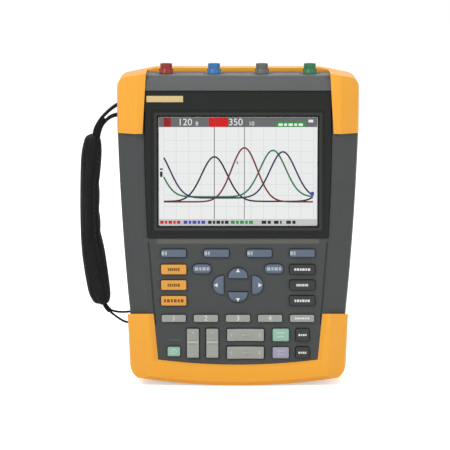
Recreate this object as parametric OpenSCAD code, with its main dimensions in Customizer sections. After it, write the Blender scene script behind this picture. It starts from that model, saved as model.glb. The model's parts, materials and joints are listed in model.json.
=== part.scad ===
// Hand-held four-channel oscilloscope with a moulded guard, a keypad and a side strap.
// Frame: +X right, +Y to the back, +Z up; the origin is the middle of the land it stands on.

/* [Case] */
// Width of the case across its top
case_w = 194.8; // [185:0.2:205]
// Depth of the case from its front face to its back
case_d = 63; // [60:0.5:68]
// Radius of the bowed sides, seen from the front
side_bow_r = 2180; // [1800:20:3600]
// Radius of the bowed underside
base_bow_r = 520; // [400:10:800]
// Width of the flat land in the underside
base_land_w = 50; // [40:1:60]
// Thickness of the case walls
wall = 2.6; // [2.2:0.1:3]
// Width of the slanted flank beside the face
flank_w = 15; // [12:0.5:17]
// Depth that the flank falls back
flank_fall = 11; // [8:0.5:13]
// Size of the chamfer round the back
back_chamfer = 6; // [4:0.5:8]
// Depth of the front half, up to the seal
front_half_d = 17; // [16:0.5:18]
// Thickness of the seal between the halves
seal_t = 1.2; // [1:0.1:1.6]

/* [Guard] */
// Height of the bottom guard's inner edge in the middle
guard_lip_h = 17.4; // [16:0.1:19]
// Height of the bottom guard at the sides
guard_side_h = 59.2; // [56:0.2:61]
// Thickness of the guard under the case
guard_base_t = 4; // [3:0.2:5]
// How much narrower the bottom guard is than the case's top
guard_taper = 14; // [12:0.2:16]
// How far the guard stands in front of the face
guard_proud = 3; // [2:0.2:4]
// Height of the top guard from its lower edge to its top
pad_h = 49.9; // [46:0.1:54]
// How far the top guard stands over the case
pad_rise = 3.5; // [3:0.1:4.5]
// Radius of the top guard's outer corners
pad_r = 9; // [7:0.5:10]
// Distance from the middle where the top guard's upper edge starts to fall
shoulder_x = 66; // [62:1:70]
// Angle at which that edge falls to the sides
shoulder_fall = 12; // [9:0.5:13]
// Angle at which the bottom guard's upper edges fall to the back
wing_fall = 9; // [5:0.5:11]
// Radius of the bottom guard's outer corners
guard_r = 13; // [9:0.5:16]
// Width of the bevel along the guards' inner edges
bevel_w = 5.6; // [4:0.2:7]
// Gap between the guards and the case they clip over
skin_gap = 0.1; // [0.05:0.05:0.2]
// Depth of the case's seats under the guards
seat_d = 1.8; // [1.4:0.1:2]

/* [Face] */
// Distance from the screen bezel to the side of the case, at its top
bezel_side = 22.2; // [21.4:0.1:23.2]
// Height of the screen bezel
bezel_h = 117.7; // [114:0.1:121]
// Thickness of the bezel plate
bezel_t = 1.2; // [1:0.1:1.6]
// Depth of the recess that the bezel lies in
pocket_d = 2.2; // [1.8:0.1:2.6]
// Width of the window
window_w = 138.6; // [134:0.2:141]
// Height of the window
window_h = 99; // [96:0.2:101]
// Distance from the top of the bezel down to the window
window_drop = 15; // [13:0.2:16]
// Thickness of the window
window_t = 1.1; // [0.8:0.1:1.2]
// Width of the display's picture
screen_w = 126.2; // [120:0.2:128]
// Height of the display's picture
screen_h = 87.9; // [84:0.1:90]
// Distance from the top of the bezel down to the picture
screen_drop = 19.8; // [18.5:0.1:22]
// Height of the strip over the bezel
strip_h = 12.1; // [11:0.1:14]
// Width of the bare plate on the bezel
plate_w = 29.2; // [20:0.2:36]
// Height of the bare plate on the bezel
plate_h = 5; // [4:0.1:6]

/* [Key rows] */
// Height of the lowest row of keys above the base
low_row_z = 27.4; // [26.6:0.1:29]
// Distance between the two lowest rows
low_pitch = 14.4; // [14:0.1:15]
// Channel row above the upper of the two lowest rows
channel_rise = 13.5; // [13:0.1:15]
// Lowest mode key above the channel row
mode_rise = 14.3; // [13:0.1:16]
// Distance between the mode keys
mode_pitch = 12.65; // [12:0.05:14]
// Row of soft keys above the highest mode key
soft_rise = 13.1; // [12.4:0.1:15]
// Lower edge of the bezel above the soft keys
bezel_rise = 12.1; // [11:0.1:14]

/* [Keys] */
// Distance of the outer key columns from the middle
column_x = 51.5; // [50:0.1:53]
// Distance between the soft keys
soft_pitch = 34.3; // [33:0.1:35]
// Distance between the channel keys
channel_pitch = 25.75; // [25:0.05:26.4]
// Width of a soft key
soft_w = 20; // [16:0.2:22]
// Height of a soft key
soft_h = 6.4; // [5:0.1:7.4]
// Width of the mode and tool keys
mode_w = 20.4; // [16:0.2:22]
// Height of the mode and tool keys
mode_h = 8.1; // [6:0.1:8.8]
// Width of a channel key
channel_w = 19.6; // [16:0.2:21]
// Height of a channel key
channel_h = 6.1; // [5:0.1:7]
// Distance of the oval keys from the middle
oval_x = 28.9; // [27:0.1:31]
// Width of an oval key
oval_w = 15; // [12:0.2:17]
// Height of an oval key
oval_h = 7.5; // [6:0.1:8.4]
// Distance of the arrow keys' flat edges from the middle of the pad
arrow_r = 5.6; // [4.6:0.1:6.4]
// Sideways distance of the left and right keys' flat edges
arrow_side_r = 11.4; // [10.4:0.1:12.4]
// Length of an arrow key along its flat edge
arrow_w = 15.4; // [13:0.2:16.4]
// Height of an arrow key from its flat edge
arrow_h = 8.6; // [7:0.1:9.2]
// Width of the tall rockers
tall_w = 10.3; // [8:0.1:11.6]
// Height of the tall rockers
tall_h = 24.2; // [21:0.1:24.8]
// Distance of the first tall rocker from the middle
tall_x = 36.2; // [35.8:0.1:36.6]
// Distance between the tall rockers
tall_pitch = 15.6; // [15:0.1:16.4]
// Width of the wide rockers
wide_w = 30.2; // [26:0.2:31]
// Height of the wide rockers
wide_h = 10.5; // [8:0.1:10.6]
// Distance of the wide rockers to the right of the middle
wide_x = 6; // [5.6:0.1:6.4]
// Distance of the auto and hold keys from the middle
auto_x = 34.4; // [33.8:0.1:34.8]
// Width of the small keys on the right
small_w = 11.8; // [9:0.1:12.6]
// Height of the small keys on the right
small_h = 10.5; // [8:0.1:10.6]
// How far a key stands out of the face
key_proud = 2; // [1.4:0.1:2.6]
// Distance that a key travels
key_travel = 1.2; // [0.6:0.1:1.3]
// Gap between a key and the edge of its hole
key_gap = 0.35; // [0.3:0.05:0.45]
// Width of the flange that holds a key behind the face
key_lip = 1.3; // [1:0.1:1.5]
// Corner radius of a key
key_r = 1.2; // [0.8:0.1:1.8]

/* [Connectors] */
// Distance between the four input connectors
input_pitch = 38.4; // [37:0.1:40]
// Distance of the connectors behind the face
input_back = 21; // [18:0.5:24]
// Radius of the connector's barrel
barrel_r = 4.8; // [4.6:0.05:5]
// Height of the connector above the top face
barrel_h = 8.3; // [7.6:0.1:9.4]
// Radius of the hole in the barrel
barrel_bore_r = 3.95; // [3.8:0.05:4.05]
// Radius of the flared foot of the connector
foot_r = 5.7; // [5.4:0.1:6.2]

/* [Stand and battery] */
// Height of the stand's hinge above the base
hinge_z = 192; // [186:0.5:194]
// Length of the stand below its hinge
stand_l = 168; // [160:1:170]
// Width of the stand at its foot
stand_w = 118; // [112:1:122]
// Thickness of the stand
stand_t = 5; // [4:0.1:5.4]
// Radius of the stand's hinge pins
hinge_pin_r = 2; // [1.6:0.1:2.2]
// Radius of the stand's hinge barrel
hinge_barrel_r = 3.9; // [3.6:0.1:4]
// Width of the battery pack
battery_w = 82; // [76:0.5:84]
// Height of the battery pack
battery_h = 68; // [62:0.5:70]
// Thickness of the battery pack
battery_t = 21; // [18:0.5:22]
// Height of the lower edge of the battery cover
cover_z = 43; // [42:0.5:45]
// Height of the part of the cover under the battery pack, which holds the locks
lock_band = 15.8; // [15:0.1:18]
// Radius of a quarter-turn lock
lock_r = 4.5; // [3.6:0.1:5]
// Distance of the locks from the middle
lock_x = 30; // [26:0.5:32]
// Radius of the stand's release button
release_r = 5; // [4:0.1:5.6]
// Radius of the case screws
screw_r = 1.7; // [1.5:0.1:1.8]

/* [Side port and strap] */
// Height of the middle of the port cover
port_z = 146; // [130:1:160]
// Distance of the port cover behind the middle of the case
port_y = 8; // [6:0.5:10]
// Length of the port cover
port_l = 40; // [34:1:44]
// Width of the port cover
port_w = 17; // [15:0.5:18]
// Height of the upper strap bar
upper_bar_z = 221.3; // [219:0.1:223]
// Height of the lower strap bar
lower_bar_z = 52.2; // [50:0.1:53]
// Radius of the strap bars
bar_r = 3.2; // [3:0.1:3.4]
// Width of the strap's webbing
webbing_w = 14; // [12:0.5:16]
// Thickness of the webbing
webbing_t = 1.6; // [1.2:0.1:1.8]
// Length of the padded grip
grip_l = 124; // [110:1:128]
// Thickness of the padded grip
grip_t = 15; // [12:0.5:16]
// Width of the padded grip
grip_w = 38; // [30:1:42]
// Bend radius of the padded grip
grip_bow_r = 265; // [240:5:320]
// Distance of the grip's middle line from the case
grip_out = 27.8; // [26:0.1:30]
// Height of the grip's middle
grip_z = 133; // [130:1:136]

/* [Hidden] */
$fn = 48;
BIG = 720;            // segments of the large bow circles
fit_gap = 0.3;        // running gap between pieces that move past each other
seat_gap = 0.1;       // gap under a piece that lies on its seat
run_gap = 0.08;       // radial clearance of a pin that turns in its bore
bow_rise = 20;        // the sides are widest this far over the case
panel_bow_r = 1900;   // bow of the bezel's and the keypad's edges
land_drop = base_bow_r - sqrt(pow(base_bow_r, 2) - pow(base_land_w / 2, 2));
base_axis_z = base_bow_r - land_drop;

bezel_w = case_w - 2 * bezel_side;
guard_w = case_w - guard_taper;
face_y = -32;
back_y = face_y + case_d;
seal_y = face_y + front_half_d;
rear_y = seal_y + seal_t;

low_row_2_z = low_row_z + low_pitch;
channel_z = low_row_2_z + channel_rise;
mode_z = channel_z + mode_rise;
soft_z = mode_z + 2 * mode_pitch + soft_rise;
bezel_z = soft_z + bezel_rise;
bezel_top = bezel_z + bezel_h;
case_top = bezel_top + strip_h + 0.4;
pad_top = case_top + pad_rise;
pad_z = pad_top - pad_h;
hub_z = mode_z + mode_pitch;

screen_z = bezel_top - screen_drop - screen_h / 2;
window_z = bezel_top - window_drop - window_h / 2;

// Depths of the layers behind the face
key_wall_y = face_y + wall;
bezel_seat_y = face_y + pocket_d;
screen_wall_y = bezel_seat_y + wall;
flange_t = 1.2;
flange_y = key_wall_y + fit_gap;
rocker_flange_y = key_wall_y + 1;
rocker_angle = 2.5;
dome_y = flange_y + flange_t + key_travel + 0.5;
dome_h = 0.7;
mat_t = 1.6;
mat_y = dome_y + dome_h;
lcd_back_y = mat_y + mat_t;
board_y = lcd_back_y + fit_gap;
board_t = 1.6;
shield_y = board_y + board_t + fit_gap;

// Bowed edges: half width of the case, the panel and the bottom guard at height z
function bowed(half, bow_r, bow_z, z) = half - bow_r + sqrt(pow(bow_r, 2) - pow(z - bow_z, 2));
side_bow_z = case_top + bow_rise;
panel_bow_z = case_top - 30;
guard_bow_z = guard_side_h + 75;
pad_half = case_w / 2 - 0.7;
function case_half(z) = bowed(case_w / 2, side_bow_r, side_bow_z, z);
function panel_half(z) = bowed(bezel_w / 2, panel_bow_r, panel_bow_z, z);
function guard_half(z) = bowed(guard_w / 2, side_bow_r, guard_bow_z, z);

flank_angle = atan2(flank_fall, flank_w);

// Bezel and its bare plate
panel_notch_w = bezel_w;   // width of the notch that the input panel fills
rim_y = face_y + 41;       // rear edge of that notch
plate_t = 0.5;
plate_x = -bezel_w / 2 + 2.2;
plate_z = bezel_top - 3.8 - plate_h;

// Input connectors
input_y = face_y + input_back;
input_depth = 10.6;        // length of a connector below the top face
stud_z = 3.2;              // height of the bayonet studs
stud_r = 1;
neck_r = barrel_r - 0.3;   // under the plain end that a plug's sleeve slides on
neck_top = 4.6;
function input_x(i) = (i - 1.5) * input_pitch;

// Stand, battery bay and cover
recess_y = back_y - 4;
foot_z = hinge_z - stand_l;
hinge_y = back_y - 3.8;
barrel_end = 53;           // end of the stand's hinge barrel
pin_out = barrel_end + 5;  // outer end of a hinge pin
pin_l = 17;
release_z = foot_z + 7;
bay_floor_y = recess_y - wall - battery_t - fit_gap;
bay_w = battery_w + 2 * fit_gap;
ledge = 2.2;               // ledge that the cover lies on
cover_w = battery_w + 2 * ledge + 2 * fit_gap;
battery_z = cover_z + lock_band;
cover_h = lock_band + battery_h + ledge;
lock_z = cover_z + 7.4;
lock_room = lock_r + 2.1;  // radius of the room that a lock's cam turns in
lock_depth = 6;
screw_side = 62;
post_r = screw_r + 2.2;
shield_h = 72;             // from the top of the bezel down to the foot of the shield
SCREWS = [
    for (s = [-1, 1]) [s * (screw_side + 2), case_top - 62],
    for (s = [-1, 1]) [s * (screw_side + 2), hinge_z - 60],
    for (s = [-1, 1]) [s * screw_side, guard_lip_h + 13.5]
];

// Side port
port_tilt = atan2(side_bow_z - port_z, side_bow_r);
port_cover_t = 2;
port_recess = port_cover_t + 0.6;
flap_r = port_cover_t / 2;
flap_back = 0.5;           // room behind the flap's axis, so that it opens past a right angle
flap_axis_y = port_w / 2 - fit_gap - flap_r - flap_back;
socket_bay = [10, port_w - 7, port_l - 6];

// Strap: its bars lie in pockets, and the grip bows round a far axis
bar_pocket_r = bar_r + 0.3 + webbing_t + 0.6;
upper_bar_x = -case_half(upper_bar_z) + 4;
lower_bar_x = -case_half(lower_bar_z) + 2.4;
grip_mid = [-case_half(grip_z) - grip_out, grip_z];
grip_lean = 2.35;
grip_half_angle = grip_l / 2 / grip_bow_r * 180 / PI;
loop_r = bar_r + 0.3 + webbing_t / 2;

// Every key: [x, z, width, height, shape]
rocker_z = (low_row_z + low_row_2_z) / 2 + 0.5;
SOFT = [for (i = [0:3]) [(i - 1.5) * soft_pitch, soft_z, soft_w, soft_h, "bar"]];
MODE = [for (i = [2:-1:0]) [-column_x, mode_z + i * mode_pitch, mode_w, mode_h, "bar"]];
TOOL = [for (i = [2:-1:0]) [column_x, mode_z + i * mode_pitch, mode_w, mode_h, "bar"]];
OVAL = [for (s = [-1, 1]) [s * oval_x, mode_z + 2 * mode_pitch + 0.5, oval_w, oval_h, "pill"]];
ARROW = [
    [0, hub_z + arrow_r, arrow_w, arrow_h, "up"],
    [0, hub_z - arrow_r, arrow_w, arrow_h, "down"],
    [-arrow_side_r, hub_z, arrow_w, arrow_h, "left"],
    [arrow_side_r, hub_z, arrow_w, arrow_h, "right"]
];
CHANNEL = [for (i = [-2:2]) [i * channel_pitch, channel_z, channel_w, channel_h, "bar"]];
TALL = [for (i = [0, 1]) [-tall_x + i * tall_pitch, rocker_z, tall_w, tall_h, "bar"]];
WIDE = [for (z = [low_row_2_z, low_row_z]) [wide_x, z, wide_w, wide_h, "bar"]];
SMALL = [
    [auto_x, low_row_2_z, small_w + 1.4, small_h, "bar"],
    [auto_x, low_row_z, small_w + 1.4, small_h - 1.2, "bar"],
    [column_x + 0.3, low_row_2_z, small_w - 1, small_h, "bar"],
    [column_x + 0.3, low_row_z, small_w - 1, small_h - 1.2, "bar"],
    [-column_x, low_row_z + 1, small_w - 1.6, small_h - 2.6, "bar"]
];
PUSH_KEYS = concat(SOFT, MODE, TOOL, OVAL, ARROW, CHANNEL, SMALL);
ROCKERS = concat(TALL, WIDE);

// Colours
guard_colour = "#f2a93b";
shell_colour = "#4d5050";
panel_colour = "#6a6c6e";
black = "#242624";
slate = "#6f86a5";
warm_grey = "#9a9c94";
charcoal = "#3a3a3a";
metal = "#b8bcc0";

// ---------------------------------------------------------------- helpers

// Draws a child in the XZ plane at depth y; its height grows toward the front
module at_face(x, z, y) {
    translate([x, y, z]) rotate([90, 0, 0]) children();
}

// A block between two depths, drawn from an outline in the XZ plane
module layer(front, back) {
    at_face(0, 0, back) linear_extrude(back - front) children();
}

// A rectangle with true round corners
module rounded_rect(w, h, r) {
    square([w - 2 * r, h], center = true);
    square([w, h - 2 * r], center = true);
    for (x = [-1, 1], y = [-1, 1]) translate([x * (w / 2 - r), y * (h / 2 - r)]) circle(r);
}

// A profile swept round an axis that runs along Y; the profile is [radius, y] points
module swept(axis_x, axis_z, points) {
    translate([axis_x, 0, axis_z]) rotate([90, 0, 0]) rotate_extrude($fn = BIG)
        polygon([for (p = points) [p[0], -p[1]]]);
}

// What lies inside both bowed sides; the rim is a list of [inset, y] points from front to back
module between_sides(half, bow_r, bow_z, rim) {
    intersection_for (s = [-1, 1]) {
        swept(s * (half - bow_r), bow_z, concat(
            [[0, rim[0][1]]],
            [for (p = rim) [bow_r - p[0], p[1]]],
            [[0, rim[len(rim) - 1][1]]]
        ));
    }
}

// What lies above the bowed underside, raised by lift
module above_base(lift, rim) {
    swept(0, base_axis_z, concat(
        [[0, rim[0][1]]],
        [for (p = rim) [base_axis_z - lift - p[0], p[1]]],
        [[0, rim[len(rim) - 1][1]]]
    ));
}

// Rim of the case, moved outward by g, with the sides a further inset in:
// slanted flank, straight side, chamfered back
function case_rim(g, inset) = [
    [flank_w - g * tan(flank_angle / 2), face_y - g],
    [1 - g + inset, face_y + flank_fall * (flank_w - 1) / flank_w - g * tan(45 - flank_angle / 2)],
    [inset - g, face_y + flank_fall + 3],
    [inset - g, back_y - back_chamfer + g * tan(22.5)],
    [back_chamfer - g * tan(22.5), back_y + g]
];

// Closed form of the case, moved outward by g
module bare_form(g, inset = 0) {
    intersection() {
        between_sides(case_w / 2, side_bow_r, side_bow_z, case_rim(g, inset));
        above_base(guard_base_t, [
            [3 - g, face_y - g], [-g, face_y + 3 - g], [-g, back_y - 4 + g], [4 - g, back_y + g]
        ]);
        layer(face_y - 10, back_y + 10) shoulders(g);
    }
}

// Front outline of the case's top: it falls to the sides under the top guard
module shoulders(g) {
    reach = case_w;
    corner_x = case_w / 2 - 5.4;
    fall = shoulder_fall + 6;
    start = [bezel_w / 2 + 0.4, case_top];
    corner = [corner_x, case_top - (corner_x - start[0]) * tan(fall)];
    a = start + g * [tan(fall / 2), 1];
    b = corner + g * ([sin(fall), cos(fall)] + [sin(45), cos(45)]) / (1 + cos(45 - fall));
    polygon([
        [-reach, -10], [reach, -10], [reach, b[1] - reach + b[0]], b, a,
        [-a[0], a[1]], [-b[0], b[1]], [-reach, b[1] - reach + b[0]]
    ]);
}

// Outer form of the case, with a step in each side that the top guard sits in
module case_form(g) {
    seat_z = pad_z - skin_gap;
    difference() {
        bare_form(g);
        for (s = [-1, 1]) difference() {
            translate([s * case_w / 2 - 20, face_y - 20, seat_z]) cube([40, case_d + 40, pad_h + 20]);
            swept(s * (case_w / 2 - side_bow_r), side_bow_z, [
                [0, face_y - 30], [side_bow_r - seat_d + g, face_y - 30],
                [side_bow_r - seat_d + g, back_y + 30], [0, back_y + 30]
            ]);
        }
    }
}

// Room inside the case
module cavity() {
    bare_form(-wall, seat_d);
}

// Everything in front of depth y, or behind it
module front_of(y) {
    translate([-case_w, y - 200, -50]) cube([2 * case_w, 200, case_top + 100]);
}
module behind(y) {
    translate([-case_w, y, -50]) cube([2 * case_w, 200, case_top + 100]);
}

// ---------------------------------------------------------------- keys

// Outline of a key, grown by g
module key_outline(k, g) {
    w = k[2];
    h = k[3];
    if (k[4] == "bar") rounded_rect(w + 2 * g, h + 2 * g, key_r + g);
    else if (k[4] == "pill") rounded_rect(w + 2 * g, h + 2 * g, h / 2 + g - 0.01);
    else {
        turn = k[4] == "up" ? 0 : k[4] == "left" ? 90 : k[4] == "down" ? 180 : -90;
        r = (w * w / 4 + h * h) / (2 * h);
        rotate(turn) intersection() {
            translate([0, h - r]) circle(r + g);
            translate([-w, -g]) square([2 * w, 2 * h]);
        }
    }
}

// A block in a key's outline between two depths
module key_block(k, g, front, back) {
    at_face(k[0], k[1], back) linear_extrude(back - front) key_outline(k, g);
}

// A push key: crowned cap with a flange that holds it behind the face
module push_key(k, colour) {
    crown_r = 34;
    color(colour) {
        key_block(k, key_gap + key_lip, flange_y, flange_y + flange_t);
        intersection() {
            key_block(k, 0, face_y - key_proud, flange_y + flange_t);
            translate([k[0] - 20, face_y - key_proud + crown_r, k[1]])
                rotate([0, 90, 0]) cylinder(r = crown_r, h = 40, $fn = 180);
        }
    }
}

// A rocker: two raised ends, a dished middle and a flange that leaves room to rock
module rocker(k, colour) {
    dish_r = k[3] > k[2] ? 60 : 90;
    upright = k[3] > k[2];
    color(colour) {
        key_block(k, key_gap + key_lip, rocker_flange_y, rocker_flange_y + flange_t);
        difference() {
            key_block(k, 0, face_y - key_proud, rocker_flange_y + flange_t);
            translate([k[0], face_y - key_proud + 0.8 - dish_r, k[1]])
                rotate(upright ? [0, 90, 0] : [0, 0, 0])
                    cylinder(r = dish_r, h = 60, center = true, $fn = 360);
        }
    }
}

module soft_key_1() push_key(SOFT[0], slate);
module soft_key_2() push_key(SOFT[1], slate);
module soft_key_3() push_key(SOFT[2], slate);
module soft_key_4() push_key(SOFT[3], slate);
module scope_key() push_key(MODE[0], guard_colour);
module meter_key() push_key(MODE[1], guard_colour);
module recorder_key() push_key(MODE[2], guard_colour);
module cursor_key() push_key(TOOL[0], charcoal);
module zoom_key() push_key(TOOL[1], charcoal);
module replay_key() push_key(TOOL[2], charcoal);
module clear_key() push_key(OVAL[0], slate);
module enter_key() push_key(OVAL[1], slate);
module arrow_up() push_key(ARROW[0], slate);
module arrow_down() push_key(ARROW[1], slate);
module arrow_left() push_key(ARROW[2], slate);
module arrow_right() push_key(ARROW[3], slate);
module channel_a_key() push_key(CHANNEL[0], warm_grey);
module channel_b_key() push_key(CHANNEL[1], warm_grey);
module channel_c_key() push_key(CHANNEL[2], warm_grey);
module channel_d_key() push_key(CHANNEL[3], warm_grey);
module trigger_key() push_key(CHANNEL[4], warm_grey);
module range_rocker() rocker(TALL[0], warm_grey);
module level_rocker() rocker(TALL[1], warm_grey);
module time_rocker() rocker(WIDE[0], warm_grey);
module position_rocker() rocker(WIDE[1], warm_grey);
module auto_key() push_key(SMALL[0], "#8fbfa0");
module hold_key() push_key(SMALL[1], "#a7a2c4");
module save_key() push_key(SMALL[2], charcoal);
module user_key() push_key(SMALL[3], charcoal);
module power_key() push_key(SMALL[4], "#9cc4a8");

// ---------------------------------------------------------------- front half

// Recess for the bezel; its slanted sides run out into the flanks
module bezel_pocket() {
    gap = 1.4;
    lip = 3.4;
    run = (pocket_d + 1) / pocket_d;
    intersection() {
        between_sides(bezel_w / 2 + gap, panel_bow_r, panel_bow_z,
            [[-bevel_w * run, face_y - 1], [0, bezel_seat_y]]);
        rotate([90, 0, 90]) translate([0, 0, -case_w]) linear_extrude(2 * case_w) polygon([
            [bezel_seat_y, bezel_z - 0.3], [face_y - 1, bezel_z - 0.3 - lip * run],
            [face_y - 1, case_top + 20], [bezel_seat_y, case_top + 20]
        ]);
    }
}

// Notch across the top that the input panel fills
module input_notch(g) {
    translate([-panel_notch_w / 2 - g, face_y - 10, bezel_top + 0.4 - g])
        cube([panel_notch_w + 2 * g, rim_y - face_y + 10 + g, 60]);
}

module front_case() {
    color(shell_colour) difference() {
        intersection() {
            case_form(0);
            front_of(seal_y);
        }
        intersection() {
            cavity();
            behind(screen_wall_y);
        }
        // room behind the keys
        intersection() {
            cavity();
            translate([-case_w, key_wall_y, guard_lip_h])
                cube([2 * case_w, case_d, bezel_z - guard_lip_h - wall]);
        }
        bezel_pocket();
        input_notch(0);
        // opening behind the window
        at_face(0, screen_z, screen_wall_y + 1) linear_extrude(wall + 2)
            rounded_rect(screen_w + 2, screen_h + 2, 1);
        for (k = PUSH_KEYS) key_block(k, key_gap, face_y - 1, key_wall_y + 0.5);
        for (k = ROCKERS) key_block(k, key_gap, face_y - 1, key_wall_y + 0.5);
        // screw holes from the back
        for (p = SCREWS) at_face(p[0], p[1], seal_y + 1)
            linear_extrude(6) circle(screw_r);
    }
}

module case_seal() {
    color("#1c1c1c") difference() {
        intersection() {
            case_form(0);
            front_of(rear_y);
            behind(seal_y);
        }
        cavity();
        input_notch(0);
    }
}

// ---------------------------------------------------------------- display and boards

module screen_bezel() {
    color(black) difference() {
        intersection() {
            between_sides(bezel_w / 2, panel_bow_r, panel_bow_z, [
                [0.8, bezel_seat_y - bezel_t], [0, bezel_seat_y - bezel_t + 0.8], [0, bezel_seat_y]
            ]);
            translate([-case_w, face_y - 2, bezel_z]) cube([2 * case_w, 20, bezel_h]);
        }
        at_face(0, window_z, bezel_seat_y + 1) linear_extrude(bezel_t + 2)
            rounded_rect(window_w + 2 * seat_gap, window_h + 2 * seat_gap, 2);
        // seat of the bare plate
        translate([plate_x - seat_gap, bezel_seat_y - bezel_t - 1, plate_z - seat_gap])
            cube([plate_w + 2 * seat_gap, 1 + plate_t - 0.1, plate_h + 2 * seat_gap]);
    }
}

module name_plate() {
    color(guard_colour)
        translate([plate_x, bezel_seat_y - bezel_t - 0.1, plate_z])
            cube([plate_w, plate_t - 0.1, plate_h]);
}

module display_window() {
    color("#30343a", 0.6) at_face(0, window_z, bezel_seat_y) linear_extrude(window_t)
        rounded_rect(window_w, window_h, 1.9);
}

module lcd_panel() {
    color("#d8dce0") {
        // picture area in the opening, just behind the window
        at_face(0, screen_z, screen_wall_y + 1) linear_extrude(wall + 1 - seat_gap)
            rounded_rect(screen_w + 1, screen_h + 1, 0.8);
        // metal frame behind the wall
        difference() {
            at_face(0, screen_z, lcd_back_y) linear_extrude(lcd_back_y - screen_wall_y)
                rounded_rect(screen_w + 10, screen_h + 10, 2);
            // ribs pressed in the frame's back
            for (x = [-40, 0, 40]) translate([x - 4, lcd_back_y - 0.6, screen_z - 38])
                cube([8, 2, 76]);
        }
    }
}

module keypad_mat() {
    mat_top = bezel_z - wall - 3;
    mat_bottom = guard_lip_h + 1;
    color("#55585a") {
        at_face(0, (mat_top + mat_bottom) / 2, lcd_back_y) linear_extrude(mat_t)
            rounded_rect(2 * panel_half(mat_bottom) - 4, mat_top - mat_bottom, 3);
        for (k = PUSH_KEYS) dome([k[0], k[1] + dome_shift(k)[1]], dome_shift(k)[0]);
        for (k = TALL, s = [-1, 1]) dome([k[0], k[1] + s * tall_h * 0.32], 0);
        for (k = WIDE, s = [-1, 1]) dome([k[0] + s * wide_w * 0.34, k[1]], 0);
    }
}

// The arrow keys' domes lie half a key off their flat edges: [x shift, z shift]
function dome_shift(k) =
    k[4] == "up" ? [0, k[3] / 2] : k[4] == "down" ? [0, -k[3] / 2] :
    k[4] == "left" ? [-k[3] / 2, 0] : k[4] == "right" ? [k[3] / 2, 0] : [0, 0];

module dome(p, shift) {
    at_face(p[0] + shift, p[1], mat_y) cylinder(r1 = 2.6, r2 = 2, h = dome_h, $fn = 24);
}

module main_board() {
    board_bottom = guard_lip_h + 4;
    board_top = bezel_top - 4;
    chip_row_z = bezel_z - 2;
    chip_h = 2;
    coil_row_z = channel_z + 5;
    coil_r = 4.5;
    speaker_z = low_row_2_z + 4;
    speaker_r = 12;
    speaker_t = 5;
    color("#2f6b45") difference() {
        at_face(0, (board_top + board_bottom) / 2, board_y + board_t) linear_extrude(board_t)
            rounded_rect(2 * panel_half(board_bottom) - 2, board_top - board_bottom, 2);
        for (p = SCREWS) at_face(p[0], p[1], board_y + 5) linear_extrude(10) circle(screw_r + 0.4);
    }
    // processor, memory, power parts and the loudspeaker on the back of the board
    color("#222222") {
        for (c = [[-30, 0, 22, 22], [10, 2, 14, 20], [38, -2, 14, 14], [-30, -30, 12, 18]])
            translate([c[0] - c[2] / 2, board_y + board_t, chip_row_z + c[1] - c[3] / 2])
                cube([c[2], chip_h, c[3]]);
        for (x = [30, 42, 54]) translate([x, board_y + board_t, coil_row_z])
            rotate([-90, 0, 0]) cylinder(r = coil_r, h = 2 * coil_r);
        translate([-46, board_y + board_t, speaker_z])
            rotate([-90, 0, 0]) cylinder(r = speaker_r, h = speaker_t);
    }
}

// Sheet-metal can over the input stages, open to the board, with one chamber for each channel
module input_shield() {
    width = 2 * (screw_side - post_r - fit_gap) - 2;
    bottom = bezel_top - shield_h;
    top = case_top - input_depth - seat_gap;
    depth = 20;
    sheet = 1.4;
    chamber = (width - 5 * sheet) / 4;
    color(metal) difference() {
        translate([-width / 2, shield_y, bottom]) cube([width, depth, top - bottom]);
        for (i = [0:3]) translate([-width / 2 + sheet + i * (chamber + sheet), 0, bottom + sheet]) {
            translate([0, shield_y - 1, 0]) cube([chamber, depth + 1 - sheet, top - bottom - 2 * sheet]);
            // trough pressed in the lid
            translate([3, shield_y + depth - 0.6, 6]) cube([chamber - 6, 2, top - bottom - 16]);
        }
    }
}

// ---------------------------------------------------------------- inputs

module input_panel() {
    top_wall = 2.4;
    half = panel_notch_w / 2 - 0.1;
    color(panel_colour) difference() {
        rotate([90, 0, 90]) translate([0, 0, -half]) linear_extrude(2 * half) difference() {
            polygon([
                [face_y, bezel_top + 0.5], [face_y + 0.6, case_top - 3.6],
                [face_y + 1.4, case_top - 1.7], [face_y + 2.6, case_top - 0.5],
                [face_y + 4.4, case_top - 0.2], [face_y + 4.9, case_top - 0.9],
                [face_y + 5.4, case_top - 0.2], [face_y + 6, case_top],
                [rim_y - 0.1, case_top], [rim_y - 0.1, bezel_top + 0.5]
            ]);
            polygon([
                [face_y + 3, bezel_top - 1], [face_y + 3.4, case_top - 5],
                [face_y + 6, case_top - top_wall], [rim_y - 3, case_top - top_wall],
                [rim_y - 3, bezel_top - 1]
            ]);
        }
        for (i = [0:3]) translate([input_x(i), input_y, case_top - 10]) cylinder(r = foot_r - 0.4, h = 20);
        // shallow ring round each connector
        for (i = [0:3]) translate([input_x(i), input_y, case_top - 0.6]) difference() {
            cylinder(r = foot_r + 2.6, h = 2);
            translate([0, 0, -1]) cylinder(r = foot_r + 1.8, h = 4);
        }
    }
}

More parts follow.
